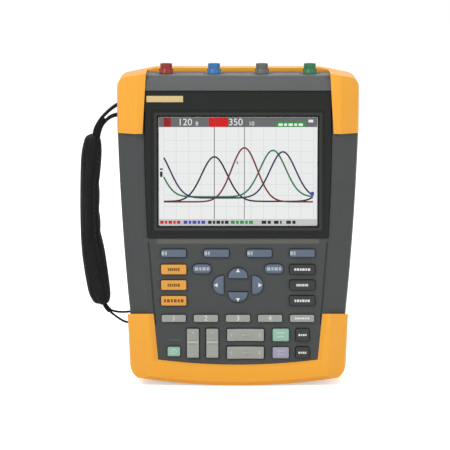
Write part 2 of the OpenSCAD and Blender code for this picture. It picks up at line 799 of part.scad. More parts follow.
// Coloured input connector: flared foot, bayonet studs and a plain barrel end
module input_connector(i, colour) {
    color(colour) translate([input_x(i), input_y, case_top]) difference() {
        union() {
            rotate_extrude() polygon([
                [0, -input_depth], [foot_r - 0.5, -input_depth], [foot_r - 0.5, 0], [foot_r, 0],
                [foot_r, 1], [neck_r, neck_top], [barrel_r, neck_top], [barrel_r, barrel_h],
                [0, barrel_h]
            ]);
            rotate([0, 90, 0]) translate([-stud_z, 0, 0])
                cylinder(r = stud_r, h = 2 * barrel_r + 1.6, center = true, $fn = 24);
        }
        translate([0, 0, 0.4]) cylinder(r = barrel_bore_r, h = 20);
    }
}
module bnc_red() input_connector(0, "#a52f2c");
module bnc_blue() input_connector(1, "#2f7cc4");
module bnc_grey() input_connector(2, "#7d7f80");
module bnc_green() input_connector(3, "#1f8a52");

module bnc_contacts() {
    color("#e8e4d8") for (i = [0:3]) translate([input_x(i), input_y, case_top + 0.4])
        rotate_extrude() polygon([
            [0, 0], [2.4, 0], [2.4, barrel_h - 2.2], [0.8, barrel_h - 2.2],
            [0.5, barrel_h - 2.7], [0.5, 2], [0, 2]
        ]);
}

// ---------------------------------------------------------------- guards

// Rim of a guard: its flank stands proud of the case's
function guard_rim(g) = [
    [flank_w, face_y - guard_proud - g],
    [1.4 - g, face_y + flank_fall * 0.86 - guard_proud],
    [-g, face_y + flank_fall + 1],
    [-g, back_y - 2],
    [3.4 - g, back_y + guard_proud + g]
];

module top_holster() {
    rim_top_r = 4;
    inner_top = bezel_w / 2 - 2;
    tilt = atan2(3, pad_h);
    color(guard_colour) difference() {
        intersection() {
            between_sides(pad_half, side_bow_r, pad_z + pad_h / 2, guard_rim(0));
            layer(face_y - 20, back_y + 20) pads_outline();
            // side view: round upper edges
            rotate([90, 0, 90]) translate([0, 0, -case_w]) linear_extrude(2 * case_w) union() {
                translate([face_y - 10, pad_z]) square([case_d + 20, pad_h - rim_top_r]);
                translate([face_y - guard_proud + rim_top_r, pad_z])
                    square([case_d + 2 * guard_proud - 2 * rim_top_r, pad_h]);
                for (y = [face_y - guard_proud + rim_top_r, back_y + guard_proud - rim_top_r])
                    translate([y, pad_top - rim_top_r]) circle(rim_top_r);
            }
        }
        case_form(skin_gap);
        // opening in front, with a bevel along each pad
        intersection_for (s = [-1, 1])
            translate([s * inner_top, 0, pad_top]) rotate([0, -s * tilt, 0]) translate([0, 0, -100])
                linear_extrude(200) polygon([
                    [s * bevel_w, face_y - guard_proud - 0.1], [s * (bevel_w + 4), face_y - 20],
                    [-s * 300, face_y - 20], [-s * 300, rim_y], [0, rim_y], [0, face_y - 1]
                ]);
        // pocket of the strap bar
        strap_pocket(upper_bar_x, upper_bar_z, 0.4);
    }
}

// Front outline of the top guard: its upper edge falls to round shoulders
module pads_outline() {
    x = pad_half - pad_r;
    fall = (x + pad_r * sin(shoulder_fall) - shoulder_x) * tan(shoulder_fall);
    z = pad_top - fall - pad_r * cos(shoulder_fall);
    edge = [x + pad_r * sin(shoulder_fall), pad_top - fall];
    polygon([
        [-pad_half - 1, pad_z], [pad_half + 1, pad_z], [pad_half + 1, z - 0.01], [x, z - 0.01], edge,
        [shoulder_x, pad_top], [-shoulder_x, pad_top], [-edge[0], edge[1]], [-x, z - 0.01],
        [-pad_half - 1, z - 0.01]
    ]);
    for (s = [-1, 1]) translate([s * x, z]) circle(pad_r);
}

module bottom_holster() {
    color(guard_colour) difference() {
        intersection() {
            between_sides(guard_w / 2, side_bow_r, guard_bow_z, guard_rim(0));
            above_base(-land_drop, [
                [4.6, face_y - guard_proud], [1, face_y - guard_proud + 3], [0, face_y + 6],
                [0, back_y - 4], [4, back_y + guard_proud]
            ]);
            layer(face_y - 20, back_y + 20) guard_outline();
        }
        // upper edges that fall to the back
        translate([-case_w, face_y - guard_proud, guard_side_h]) rotate([-wing_fall, 0, 0])
            cube([2 * case_w, 2 * case_d, 40]);
        case_form(skin_gap);
        // opening in front, bevelled like the pads
        intersection() {
            between_sides(bezel_w / 2 - 0.6, panel_bow_r, panel_bow_z,
                [[-4.4, face_y - guard_proud - 0.2], [0, face_y - 0.4], [0, face_y + 20]]);
            above_base(guard_lip_h, [
                [-2.4, face_y - guard_proud - 0.2], [0, face_y - 0.4], [0, face_y + 20]]);
            front_of(face_y + 8);
        }
        // opening at the back round the stand's foot
        translate([-stand_w / 2 - 3, back_y - 12, foot_z - 4]) cube([stand_w + 6, 40, 100]);
        strap_pocket(lower_bar_x, lower_bar_z, 0.4);
    }
}

// Front outline of the bottom guard with its round lower corners
module guard_outline() {
    corner_z = 5.4;
    half = guard_half(corner_z + guard_r);
    translate([-100, corner_z + guard_r]) square([200, guard_side_h - corner_z - guard_r]);
    translate([-half + guard_r, 0]) square([2 * half - 2 * guard_r, guard_side_h]);
    for (s = [-1, 1]) translate([s * (half - guard_r), corner_z + guard_r - 1]) circle(guard_r);
}

// ---------------------------------------------------------------- back half

// Outline of the stand, grown by g
module stand_outline(g) {
    top_w = 104;
    translate([0, foot_z]) polygon([
        [-stand_w / 2 + 8 - g * 0.4, -g], [stand_w / 2 - 8 + g * 0.4, -g],
        [stand_w / 2 + g, 8 - g * 0.4], [top_w / 2 + g, stand_l + hinge_barrel_r + g],
        [-top_w / 2 - g, stand_l + hinge_barrel_r + g], [-stand_w / 2 - g, 8 - g * 0.4]
    ]);
}

// A pocket for a strap bar in the left side, grown by g
module strap_pocket(x, z, g) {
    width = webbing_w + 3 + 2 * g;
    layer(-width / 2, width / 2) union() {
        translate([x, z]) circle(bar_pocket_r + g);
        translate([x - 40, z - bar_pocket_r - g]) square([40, 2 * (bar_pocket_r + g)]);
    }
}

module strap_anchor(x, z) {
    intersection() {
        bare_form(-wall / 2, seat_d);
        layer(-webbing_w / 2 - 1.5 - wall, webbing_w / 2 + 1.5 + wall)
            translate([x, z]) square(2 * (bar_pocket_r + wall), center = true);
    }
}

module strap_bar(x, z) {
    width = webbing_w + 3.4;
    at_face(x, z, width / 2) cylinder(r = bar_r, h = width);
}

module rear_case() {
    color(shell_colour) {
        difference() {
            union() {
                difference() {
                    intersection() {
                        case_form(0);
                        behind(rear_y);
                    }
                    cavity();
                }
                intersection() {
                    bare_form(-0.5, seat_d);
                    behind(rear_y);
                    union() {
                        // floor and walls of the stand's recess
                        layer(recess_y - wall, back_y) stand_outline(wall + 1);
                        // battery bay and the ledge under the cover
                        translate([-bay_w / 2 - wall, bay_floor_y - wall, battery_z - fit_gap - wall])
                            cube([bay_w + 2 * wall, recess_y - bay_floor_y, battery_h + 2 * (fit_gap + wall)]);
                        translate([-cover_w / 2 - wall, recess_y - 2 * wall, cover_z - wall])
                            cube([cover_w + 2 * wall, 2 * wall, cover_h + 2 * wall]);
                        // cups round the locks' cams
                        for (s = [-1, 1]) at_face(s * lock_x, lock_z, recess_y - wall)
                            cylinder(r = lock_room + wall - 0.6, h = lock_depth + 1.6);
                        port_frame() port_boss();
                        // trough behind the hinge barrel
                        translate([-pin_out - 4, hinge_y, hinge_z]) rotate([0, 90, 0])
                            cylinder(r = hinge_barrel_r + fit_gap + wall, h = 2 * (pin_out + 4));
                        // posts for the case screws
                        for (p = SCREWS) at_face(p[0], p[1], back_y - 1)
                            cylinder(r = post_r, h = back_y - rear_y - 1);
                    }
                }
                strap_anchor(upper_bar_x, upper_bar_z);
                strap_anchor(lower_bar_x, lower_bar_z);
            }
            input_notch(0);
            // recess of the stand
            layer(recess_y, back_y + 10) stand_outline(1);
            translate([-barrel_end - fit_gap, hinge_y, hinge_z]) rotate([0, 90, 0])
                cylinder(r = hinge_barrel_r + fit_gap, h = 2 * (barrel_end + fit_gap));
            // bay and mouth for the battery cover
            translate([-bay_w / 2, bay_floor_y, battery_z - fit_gap])
                cube([bay_w, battery_t + 20, battery_h + 2 * fit_gap]);
            translate([-cover_w / 2 - fit_gap, recess_y - wall, cover_z - fit_gap])
                cube([cover_w + 2 * fit_gap, wall + 10, cover_h + 2 * fit_gap]);
            for (s = [-1, 1]) at_face(s * lock_x, lock_z, recess_y)
                linear_extrude(wall + lock_depth) circle(lock_room);
            // bores for the hinge pins and the release button
            translate([-pin_out, hinge_y, hinge_z]) rotate([0, 90, 0])
                cylinder(r = hinge_pin_r, h = 2 * pin_out);
            at_face(0, release_z, back_y + 5) cylinder(r = release_r + fit_gap, h = 30);
            // screw holes with sunk heads
            for (p = SCREWS) at_face(p[0], p[1], back_y + 1) {
                cylinder(r = screw_r, h = case_d);
                cylinder(r = screw_r + 1.6, h = 5);
            }
            strap_pocket(upper_bar_x, upper_bar_z, 0);
            strap_pocket(lower_bar_x, lower_bar_z, 0);
            port_frame() port_room();
        }
        strap_bar(upper_bar_x, upper_bar_z);
        strap_bar(lower_bar_x, lower_bar_z);
    }
}

module case_screws() {
    color(metal) for (p = SCREWS) at_face(p[0], p[1], back_y - 1) difference() {
        union() {
            cylinder(r = screw_r + 1.4, h = 2.6);
            cylinder(r = screw_r - 0.1, h = back_y - seal_y + 2);
        }
        translate([0, 0, -1]) cylinder(r = 1.2, h = 2.4, $fn = 6);
    }
}

// ---------------------------------------------------------------- stand and battery

module tilt_stand() {
    window_half = cover_w / 2 + 3;
    window_bottom = cover_z - 2;
    window_top = cover_z + cover_h + 3;
    color(panel_colour) difference() {
        union() {
            intersection() {
                layer(recess_y + fit_gap, recess_y + fit_gap + stand_t) stand_outline(0);
                translate([-100, 0, foot_z - 1]) cube([200, 100, stand_l + 1]);
            }
            translate([-barrel_end, hinge_y, hinge_z]) rotate([0, 90, 0])
                cylinder(r = hinge_barrel_r, h = 2 * barrel_end);
        }
        // window round the battery cover
        layer(recess_y - 10, back_y + 20) translate([0, (window_bottom + window_top) / 2])
            rounded_rect(2 * window_half, window_top - window_bottom, 2.5);
        // sunk panels between ribs in the upper plate
        for (i = [-1.5:1.5]) translate([i * 23 - 9.5, recess_y + fit_gap + stand_t - 1.6, window_top + 8])
            cube([19, 5, hinge_z - window_top - 20]);
        // pin bores at both ends of the barrel
        for (s = [-1, 1]) translate([s * (pin_out - pin_l - 1), hinge_y, hinge_z])
            rotate([0, s * 90, 0]) cylinder(r = hinge_pin_r + run_gap, h = pin_l);
        // notch round the release button and a finger scoop
        at_face(0, release_z, back_y + 10) cylinder(r = release_r + 1.2, h = 30);
        at_face(0, foot_z, back_y + 10) linear_extrude(30)
            square([2 * release_r + 2.4, 2 * (release_z - foot_z)], center = true);
    }
}

module stand_hinge_pins() {
    color(metal) for (s = [-1, 1]) translate([s * (pin_out - pin_l / 2), hinge_y, hinge_z])
        rotate([0, 90, 0]) cylinder(r = hinge_pin_r, h = pin_l, center = true);
}

module stand_release() {
    color("#2a2a2a") {
        at_face(0, release_z, recess_y + stand_t - 1)
            cylinder(r = release_r, h = stand_t - 1 + wall + 3);
        at_face(0, release_z, recess_y - wall - fit_gap)
            cylinder(r = release_r + 1.4, h = 1.2);
    }
}

module battery_pack() {
    color("#3c4246") difference() {
        translate([-battery_w / 2, bay_floor_y + fit_gap, battery_z])
            cube([battery_w, battery_t - 2 * fit_gap, battery_h]);
        // finger notch and contact slots
        translate([0, recess_y - wall - fit_gap + 6, battery_z + battery_h])
            cylinder(r = 9, h = 10, center = true);
        for (i = [-2:2]) translate([i * 7 - 1.2, bay_floor_y - 1, battery_z - 1]) cube([2.4, 7, 4]);
    }
}

module battery_cover() {
    color(shell_colour) difference() {
        translate([-cover_w / 2, recess_y - wall + seat_gap, cover_z])
            cube([cover_w, wall - seat_gap - 0.2, cover_h]);
        for (s = [-1, 1]) at_face(s * lock_x, lock_z, recess_y + 1)
            cylinder(r = lock_r + 0.2, h = 10);
        // raised grip lines are left between these grooves
        for (i = [0:4]) translate([-22, recess_y - 0.9, cover_z + cover_h - 12 - i * 4])
            cube([44, 5, 1.8]);
    }
}

module battery_lock(s) {
    color(metal) at_face(s * lock_x, lock_z, recess_y - 0.2) difference() {
        union() {
            cylinder(r = lock_r, h = wall + 0.4);
            translate([0, 0, wall + 0.4]) cylinder(r = 2.2, h = 2.2);
            // cam, upright when locked
            translate([-1.6, -lock_r - 1.1, wall + 2.2]) cube([3.2, lock_r + 2.5, 2]);
        }
        translate([-0.6, -lock_r - 1, -1]) cube([1.2, 2 * lock_r + 2, 1.8]);
    }
}
module battery_latch_left() battery_lock(-1);
module battery_latch_right() battery_lock(1);

// ---------------------------------------------------------------- side port

// Local frame on the right side: x out of the case, y to the back, z up along the side
module port_frame() {
    translate([case_half(port_z), port_y, port_z]) rotate([0, port_tilt, 0]) children();
}

module port_room() {
    translate([-port_recess, -port_w / 2, -port_l / 2]) cube([20, port_w, port_l]);
    translate([-socket_bay[0], -port_w / 2 + 2.6, -socket_bay[2] / 2]) cube(socket_bay);
}

module port_boss() {
    translate([-socket_bay[0] - 2, -port_w / 2 - 2, -port_l / 2 - 2])
        cube([socket_bay[0] + 2, port_w + 4, port_l + 4]);
}

module port_cover() {
    length = port_l - 2 * fit_gap;
    color("#2b2d2e") port_frame() translate([-0.2, 0, -length / 2]) {
        translate([-port_cover_t, -port_w / 2 + fit_gap, 0])
            cube([port_cover_t, flap_axis_y + port_w / 2 - fit_gap, length]);
        translate([-flap_r, flap_axis_y, 0]) cylinder(r = flap_r, h = length, $fn = 32);
        // pull lip
        translate([-0.2, -port_w / 2 + fit_gap + 0.6, length / 2 - 5]) cube([1, 1.6, 10]);
    }
}

module port_sockets() {
    depth = socket_bay[0] - port_recess - 0.2;
    color(metal) port_frame() translate([-socket_bay[0], -port_w / 2 + 2.6, 0]) difference() {
        translate([seat_gap, seat_gap, -socket_bay[2] / 2 + seat_gap])
            cube([depth, socket_bay[1] - 2 * seat_gap, socket_bay[2] - 2 * seat_gap]);
        // host socket with its tongue
        translate([1, 1, 1]) difference() {
            cube([10, 5.6, 12.8]);
            translate([-1, 1.9, 1]) cube([depth - 1, 1.8, 10.8]);
        }
        // small device socket
        translate([1, 2, -6]) cube([10, 3.2, 5]);
        // charger socket with its pin
        translate([1, 4, -11.6]) rotate([0, 90, 0]) difference() {
            cylinder(r = 2.8, h = 10);
            cylinder(r = 0.8, h = depth - 1);
        }
    }
}

// ---------------------------------------------------------------- strap

// Middle line of the grip: a point at angle a from its middle
function grip_axis() = [grip_mid[0] + grip_bow_r * cos(grip_lean), grip_mid[1] + grip_bow_r * sin(grip_lean)];
function grip_point(a) = [
    grip_axis()[0] - grip_bow_r * cos(grip_lean + a), grip_axis()[1] - grip_bow_r * sin(grip_lean + a)
];

// Direction across a strip at point i, longer at a bend so that its thickness stays
function across(p, q) = [p[1] - q[1], q[0] - p[0]] / norm(q - p);
function mitre(points, i) =
    i == 0 ? across(points[0], points[1]) :
    i == len(points) - 1 ? across(points[i - 1], points[i]) :
    let (a = across(points[i - 1], points[i]), b = across(points[i], points[i + 1])) (a + b) / (1 + a * b);

// A strip of webbing along points in the XZ plane
module strand(points) {
    half = webbing_t / 2;
    polygon(concat(
        [for (i = [0:len(points) - 1]) points[i] + half * mitre(points, i)],
        [for (i = [len(points) - 1:-1:0]) points[i] - half * mitre(points, i)]
    ));
}

module strap_grip() {
    color("#1d1d1f") layer(-grip_w / 2, grip_w / 2) {
        intersection() {
            translate(grip_axis()) difference() {
                circle(grip_bow_r + grip_t / 2, $fn = BIG);
                circle(grip_bow_r - grip_t / 2, $fn = BIG);
            }
            polygon([
                grip_axis(), grip_axis() + 1.2 * (grip_point(-grip_half_angle) - grip_axis()),
                grip_axis() + 1.2 * (grip_point(grip_half_angle) - grip_axis())
            ]);
        }
        for (a = [-1, 1]) translate(grip_point(a * grip_half_angle)) circle(grip_t / 2);
    }
}

// Points round the inner side of a strap bar, from its top to its underside
function round_bar(x, z) = [for (a = [90:-15:-90]) [x + loop_r * cos(a), z + loop_r * sin(a)]];

// Each loop of webbing leaves the grip, goes round its bar and comes back beside itself
module strap_webbing() {
    top = grip_point(-grip_half_angle);
    foot = grip_point(grip_half_angle);
    color("#161617") difference() {
        layer(-webbing_w / 2, webbing_w / 2) {
            strand(concat(
                [top + [1.4, 6.5], top + [2.2, 10.3], top + [7.1, 19.1], top + [12.8, 27.2],
                    [upper_bar_x - 6.4, upper_bar_z + loop_r]],
                round_bar(upper_bar_x, upper_bar_z),
                [[upper_bar_x - 5, upper_bar_z - loop_r], top + [12.8, 19.9], top + [7.9, 14.3],
                    top + [3.1, 6.2]]
            ));
            strand(concat(
                [foot + [2.6, -6.5], foot + [5.6, -12], foot + [10, -14.6],
                    [lower_bar_x - 12, lower_bar_z + loop_r]],
                round_bar(lower_bar_x, lower_bar_z),
                [[lower_bar_x - 5, lower_bar_z - loop_r + 0.4], foot + [2.9, -14.6], foot + [0.6, -6.7]]
            ));
        }
        strap_grip();
    }
}

// ---------------------------------------------------------------- assembly

front_case();
rear_case();
case_seal();
top_holster();
bottom_holster();
input_panel();
screen_bezel();
display_window();
lcd_panel();
keypad_mat();
main_board();
input_shield();
bnc_red();
bnc_blue();
bnc_grey();
bnc_green();
bnc_contacts();
name_plate();
tilt_stand();
stand_hinge_pins();
stand_release();
battery_pack();
battery_cover();
battery_latch_left();
battery_latch_right();
port_cover();
port_sockets();
case_screws();
strap_grip();
strap_webbing();
soft_key_1();
soft_key_2();
soft_key_3();
soft_key_4();
scope_key();
meter_key();
recorder_key();
cursor_key();
zoom_key();
replay_key();
clear_key();
enter_key();
arrow_up();
arrow_down();
arrow_left();
arrow_right();
channel_a_key();
channel_b_key();
channel_c_key();
channel_d_key();
trigger_key();
range_rocker();
level_rocker();
time_rocker();
position_rocker();
auto_key();
hold_key();
save_key();
user_key();
power_key();
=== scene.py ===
# %% [markdown]
# A hand-held oscilloscope, dressed for the camera.
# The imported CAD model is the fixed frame: every piece that this lesson adds lies on it or stands
# for one of its nodes. The cells below set the camera first, then make the finishes, then the
# pieces, from the largest shells to the smallest marks.

# %% Load the frame
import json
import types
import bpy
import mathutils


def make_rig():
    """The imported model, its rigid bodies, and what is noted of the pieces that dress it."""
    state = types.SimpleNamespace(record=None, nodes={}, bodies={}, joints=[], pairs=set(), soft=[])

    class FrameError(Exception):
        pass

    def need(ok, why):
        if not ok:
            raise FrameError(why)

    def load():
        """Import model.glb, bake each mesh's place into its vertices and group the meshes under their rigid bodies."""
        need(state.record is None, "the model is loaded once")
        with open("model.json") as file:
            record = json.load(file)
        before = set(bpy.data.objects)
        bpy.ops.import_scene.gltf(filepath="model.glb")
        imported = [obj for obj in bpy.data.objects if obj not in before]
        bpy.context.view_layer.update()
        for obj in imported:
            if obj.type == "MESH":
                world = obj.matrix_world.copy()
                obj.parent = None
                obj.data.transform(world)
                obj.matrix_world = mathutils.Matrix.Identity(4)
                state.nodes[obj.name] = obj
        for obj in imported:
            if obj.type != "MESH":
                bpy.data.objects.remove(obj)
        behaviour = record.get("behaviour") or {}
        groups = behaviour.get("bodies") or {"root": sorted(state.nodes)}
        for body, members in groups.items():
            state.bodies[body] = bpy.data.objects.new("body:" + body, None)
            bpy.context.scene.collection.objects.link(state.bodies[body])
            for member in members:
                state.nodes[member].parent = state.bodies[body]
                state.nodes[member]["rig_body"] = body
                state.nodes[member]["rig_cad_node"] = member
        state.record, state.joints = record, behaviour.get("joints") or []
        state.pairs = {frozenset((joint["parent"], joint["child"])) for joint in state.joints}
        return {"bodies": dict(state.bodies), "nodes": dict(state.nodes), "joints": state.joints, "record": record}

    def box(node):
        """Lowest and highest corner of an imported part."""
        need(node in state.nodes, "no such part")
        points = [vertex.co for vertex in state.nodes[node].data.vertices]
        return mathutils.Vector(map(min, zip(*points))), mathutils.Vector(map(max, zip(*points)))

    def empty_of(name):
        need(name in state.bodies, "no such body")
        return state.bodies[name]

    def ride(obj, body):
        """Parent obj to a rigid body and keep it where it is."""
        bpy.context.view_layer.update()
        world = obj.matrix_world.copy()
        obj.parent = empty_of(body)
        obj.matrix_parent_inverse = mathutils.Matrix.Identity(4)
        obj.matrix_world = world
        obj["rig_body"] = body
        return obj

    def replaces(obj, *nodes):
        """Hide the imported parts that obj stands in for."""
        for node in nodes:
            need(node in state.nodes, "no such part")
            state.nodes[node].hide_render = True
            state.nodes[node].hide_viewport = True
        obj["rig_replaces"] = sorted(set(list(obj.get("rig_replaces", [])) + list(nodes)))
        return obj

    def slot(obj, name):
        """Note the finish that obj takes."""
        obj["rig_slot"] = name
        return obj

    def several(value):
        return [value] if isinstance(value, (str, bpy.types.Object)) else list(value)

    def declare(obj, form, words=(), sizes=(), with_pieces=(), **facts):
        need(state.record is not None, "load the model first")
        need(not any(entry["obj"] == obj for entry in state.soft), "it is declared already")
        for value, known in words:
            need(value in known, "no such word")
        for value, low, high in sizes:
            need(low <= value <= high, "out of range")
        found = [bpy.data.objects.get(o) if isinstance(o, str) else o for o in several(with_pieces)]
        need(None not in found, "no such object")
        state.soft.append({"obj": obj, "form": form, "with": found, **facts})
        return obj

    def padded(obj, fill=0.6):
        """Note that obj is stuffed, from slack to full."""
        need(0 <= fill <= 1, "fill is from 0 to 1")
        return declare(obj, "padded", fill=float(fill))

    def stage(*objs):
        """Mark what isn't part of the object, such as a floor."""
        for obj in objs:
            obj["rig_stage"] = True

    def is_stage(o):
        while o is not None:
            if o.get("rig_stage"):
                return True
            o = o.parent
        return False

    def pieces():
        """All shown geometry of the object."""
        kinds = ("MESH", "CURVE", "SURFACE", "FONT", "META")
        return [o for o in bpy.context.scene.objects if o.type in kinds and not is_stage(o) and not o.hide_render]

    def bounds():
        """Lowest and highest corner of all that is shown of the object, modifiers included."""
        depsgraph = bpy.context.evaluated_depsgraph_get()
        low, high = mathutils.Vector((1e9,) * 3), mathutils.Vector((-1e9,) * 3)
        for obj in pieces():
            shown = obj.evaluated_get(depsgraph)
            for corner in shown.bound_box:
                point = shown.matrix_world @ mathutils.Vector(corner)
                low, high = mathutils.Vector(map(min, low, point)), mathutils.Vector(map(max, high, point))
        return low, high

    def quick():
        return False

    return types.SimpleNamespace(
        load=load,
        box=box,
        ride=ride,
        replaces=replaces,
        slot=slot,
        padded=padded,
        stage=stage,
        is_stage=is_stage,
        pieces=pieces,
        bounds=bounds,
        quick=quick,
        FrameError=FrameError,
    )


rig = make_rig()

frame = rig.load()

import json
import math

import bpy
from mathutils import Matrix, Vector
from mathutils.bvhtree import BVHTree

MM = 0.001
nodes = frame["nodes"]
body_of = {node: body for body, held in frame["record"]["behaviour"]["bodies"].items() for node in held}
cad_box = [list(corner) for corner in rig.bounds()]
print("nodes", len(nodes), "bodies", len(frame["bodies"]), "box", cad_box)

# %% [markdown]
# The camera stands in front of the instrument and looks down on it a little, so that the top face shows as a narrow
# band. A long lens far away keeps the sides as parallel as a catalogue view has them. The image points are read in the
# photograph's frame of 450 by 450; the camera's numbers below were set from them, and later they place the marks on
# the display.

# %% Image points and camera
IMAGE_W, IMAGE_H = 450, 450
POINTS = {
    "left_edge": (117.5, 95),
    "right_edge": (358, 120),
    "top_edge": (214, 62.5),
    "bottom_edge": (240, 387.2),
    "input_red": (165.8, 68.5),
    "input_blue": (213.9, 68.5),
    "input_grey": (262, 68.5),
    "input_green": (310.2, 68.5),
    "plate": (164.8, 99.4),
    "picture_upper_left": (159.1, 116.5),
    "picture_lower_right": (316.7, 225.6),
    "peak_dark": (214.4, 157),
    "peak_red": (244.4, 148),
    "peak_green": (273, 150.5),
    "peak_blue": (283, 152),
    "arrow_up": (237.7, 271.6),
    "power_key": (172.8, 351),
    "guard_lip": (238, 363.5),
    "grip_left": (80.7, 206),
}
ELEVATION = math.radians(7)
DISTANCE = 2.3
LENS = 230
SENSOR = 36
AIM = Vector((-10.4, -32, 130.6)) * MM


def placed(name, data):
    """A new object of the scene that shows some data."""
    obj = bpy.data.objects.new(name, data)
    bpy.context.scene.collection.objects.link(obj)
    return obj


camera_data = bpy.data.cameras.new("camera")
camera_data.lens = LENS
camera_data.sensor_width = SENSOR
camera_data.sensor_fit = "AUTO"
camera_data.clip_end = 20
camera = placed("camera", camera_data)
camera.location = AIM + DISTANCE * Vector((0, -math.cos(ELEVATION), math.sin(ELEVATION)))
camera.rotation_euler = (math.pi / 2 - ELEVATION, 0, 0)
bpy.context.scene.camera = camera
bpy.context.view_layer.update()
print("camera at", [round(c, 3) for c in camera.location])

# %% Between the picture and the model
LONG = max(IMAGE_W, IMAGE_H)


def ray_through(x, y):
    """Where a picture point's ray starts, and its direction."""
    local = Vector((
        x - IMAGE_W / 2 + camera_data.shift_x * LONG,
        IMAGE_H / 2 - y + camera_data.shift_y * LONG,
        -LONG * camera_data.lens / camera_data.sensor_width,
    ))
    return camera.matrix_world.translation, (camera.matrix_world.to_3x3() @ local).normalized()


def shown_at(place):
    """Where a place in the model shows in the picture."""
    local = camera.matrix_world.inverted() @ place
    scale = LONG * camera_data.lens / camera_data.sensor_width / -local.z
    return (
        IMAGE_W / 2 - camera_data.shift_x * LONG + local.x * scale,
        IMAGE_H / 2 + camera_data.shift_y * LONG - local.y * scale,
    )


def tree_of(obj):
    """A search tree of a finished piece, whose mesh holds its place."""
    mesh = obj.data
    return BVHTree.FromPolygons([v.co for v in mesh.vertices], [p.vertices for p in mesh.polygons])


def place_of(point, *carriers):
    """The place on the carriers where a named image point's ray meets them."""
    start, direction = ray_through(*POINTS[point])
    hits = [tree_of(o).ray_cast(start, direction) for o in carriers]
    hits = [h for h in hits if h[0] is not None]
    if hits:
        return min(hits, key=lambda h: h[3])[0]
    best = None
    for o in carriers:
        for v in o.data.vertices:
            away = (v.co - start).cross(direction).length
            if best is None or away < best[0]:
                best = (away, v.co)
    return best[1].copy()


print("middle of the picture meets", place_of("peak_dark", nodes["display_window"]))

# %% [markdown]
# The finishes come next. Each one is a short function that builds a node tree on a Principled
# shader. Moulded plastic has a fine grain and faint cloudiness, and the soft guards are duller and
# a little lighter where hands rub their edges. All patterns read Object coordinates, because every
# piece keeps its place in its mesh and its object stays at the origin.

# %% Colours and small node helpers
def linear(code):
    """A colour written as rrggbb, as linear values with full alpha."""
    parts = [int(code[i:i + 2], 16) / 255 for i in (0, 2, 4)]
    return tuple(c / 12.92 if c < 0.04 else ((c + 0.055) / 1.055) ** 2.4 for c in parts) + (1,)


def new_material(name):
    """An empty material: its tree, shader and Object coordinates."""
    material = bpy.data.materials.new(name)
    material.use_nodes = True
    tree = material.node_tree
    shader = tree.nodes["Principled BSDF"]
    where = tree.nodes.new("ShaderNodeTexCoord").outputs["Object"]
    return material, tree, shader, where


def noise(tree, where, scale, detail=3):
    """Noise whose features are about 1 / scale metres wide."""
    node = tree.nodes.new("ShaderNodeTexNoise")
    node.inputs["Scale"].default_value = scale
    node.inputs["Detail"].default_value = detail
    node.inputs["Roughness"].default_value = 0.55
    tree.links.new(where, node.inputs["Vector"])
    return node.outputs["Fac"]


def band(tree, value, low, high, to_low, to_high):
    """Carries a value from one range to another."""
    node = tree.nodes.new("ShaderNodeMapRange")
    for socket, number in zip(node.inputs[1:5], (low, high, to_low, to_high)):
        socket.default_value = number
    tree.links.new(value, node.inputs["Value"])
    return node.outputs["Result"]


def mix(tree, share, first, second):
    """Mixes two colours, each a socket or a colour."""
    node = tree.nodes.new("ShaderNodeMix")
    node.data_type = "RGBA"
    tree.links.new(share, node.inputs["Factor"])
    for socket, colour in ((node.inputs[6], first), (node.inputs[7], second)):
        if isinstance(colour, tuple):
            socket.default_value = colour
        else:
            tree.links.new(colour, socket)
    return node.outputs[2]


def sum_of(tree, kind, first, second):
    """A math node on a socket and a socket or number."""
    node = tree.nodes.new("ShaderNodeMath")
    node.operation = kind
    for socket, value in zip(node.inputs, (first, second)):
        if isinstance(value, (int, float)):
            socket.default_value = value
        else:
            tree.links.new(value, socket)
    return node.outputs[0]


def shade(colour, factor):
    """A colour made darker or lighter by a factor."""
    return tuple(min(1, c * factor) for c in colour[:3]) + (1,)


def bumped(tree, shader, height, strength, distance):
    """Gives a shader's surface a small relief."""
    node = tree.nodes.new("ShaderNodeBump")
    node.inputs["Strength"].default_value = strength
    node.inputs["Distance"].default_value = distance
    tree.links.new(height, node.inputs["Height"])
    tree.links.new(node.outputs["Normal"], shader.inputs["Normal"])


def plain(shader, rough, gloss, colour=None):
    """Sets a shader's roughness and gloss, and its colour where one is given."""
    shader.inputs["Roughness"].default_value = rough
    shader.inputs["Specular IOR Level"].default_value = gloss
    if colour:
        shader.inputs["Base Color"].default_value = colour


def coated(tree, shader, where, colour, spread, rough, gloss):
    """Links a colour and a roughness that wanders between two values, and sets the gloss."""
    tree.links.new(colour, shader.inputs["Base Color"])
    tree.links.new(band(tree, noise(tree, where, spread), 0.3, 0.7, *rough),
                   shader.inputs["Roughness"])
    shader.inputs["Specular IOR Level"].default_value = gloss


def edge_mask(tree, radius):
    """White along sharp edges: the surface's normal leaves the rounded one there."""
    rounded = tree.nodes.new("ShaderNodeBevel")
    rounded.samples = 4
    rounded.inputs["Radius"].default_value = radius
    surface = tree.nodes.new("ShaderNodeNewGeometry")
    compare = tree.nodes.new("ShaderNodeVectorMath")
    compare.operation = "DOT_PRODUCT"
    tree.links.new(rounded.outputs["Normal"], compare.inputs[0])
    tree.links.new(surface.outputs["Normal"], compare.inputs[1])
    return band(tree, compare.outputs["Value"], 0.995, 0.86, 0, 1)


print("a middle grey is", round(linear("808080")[0], 3))

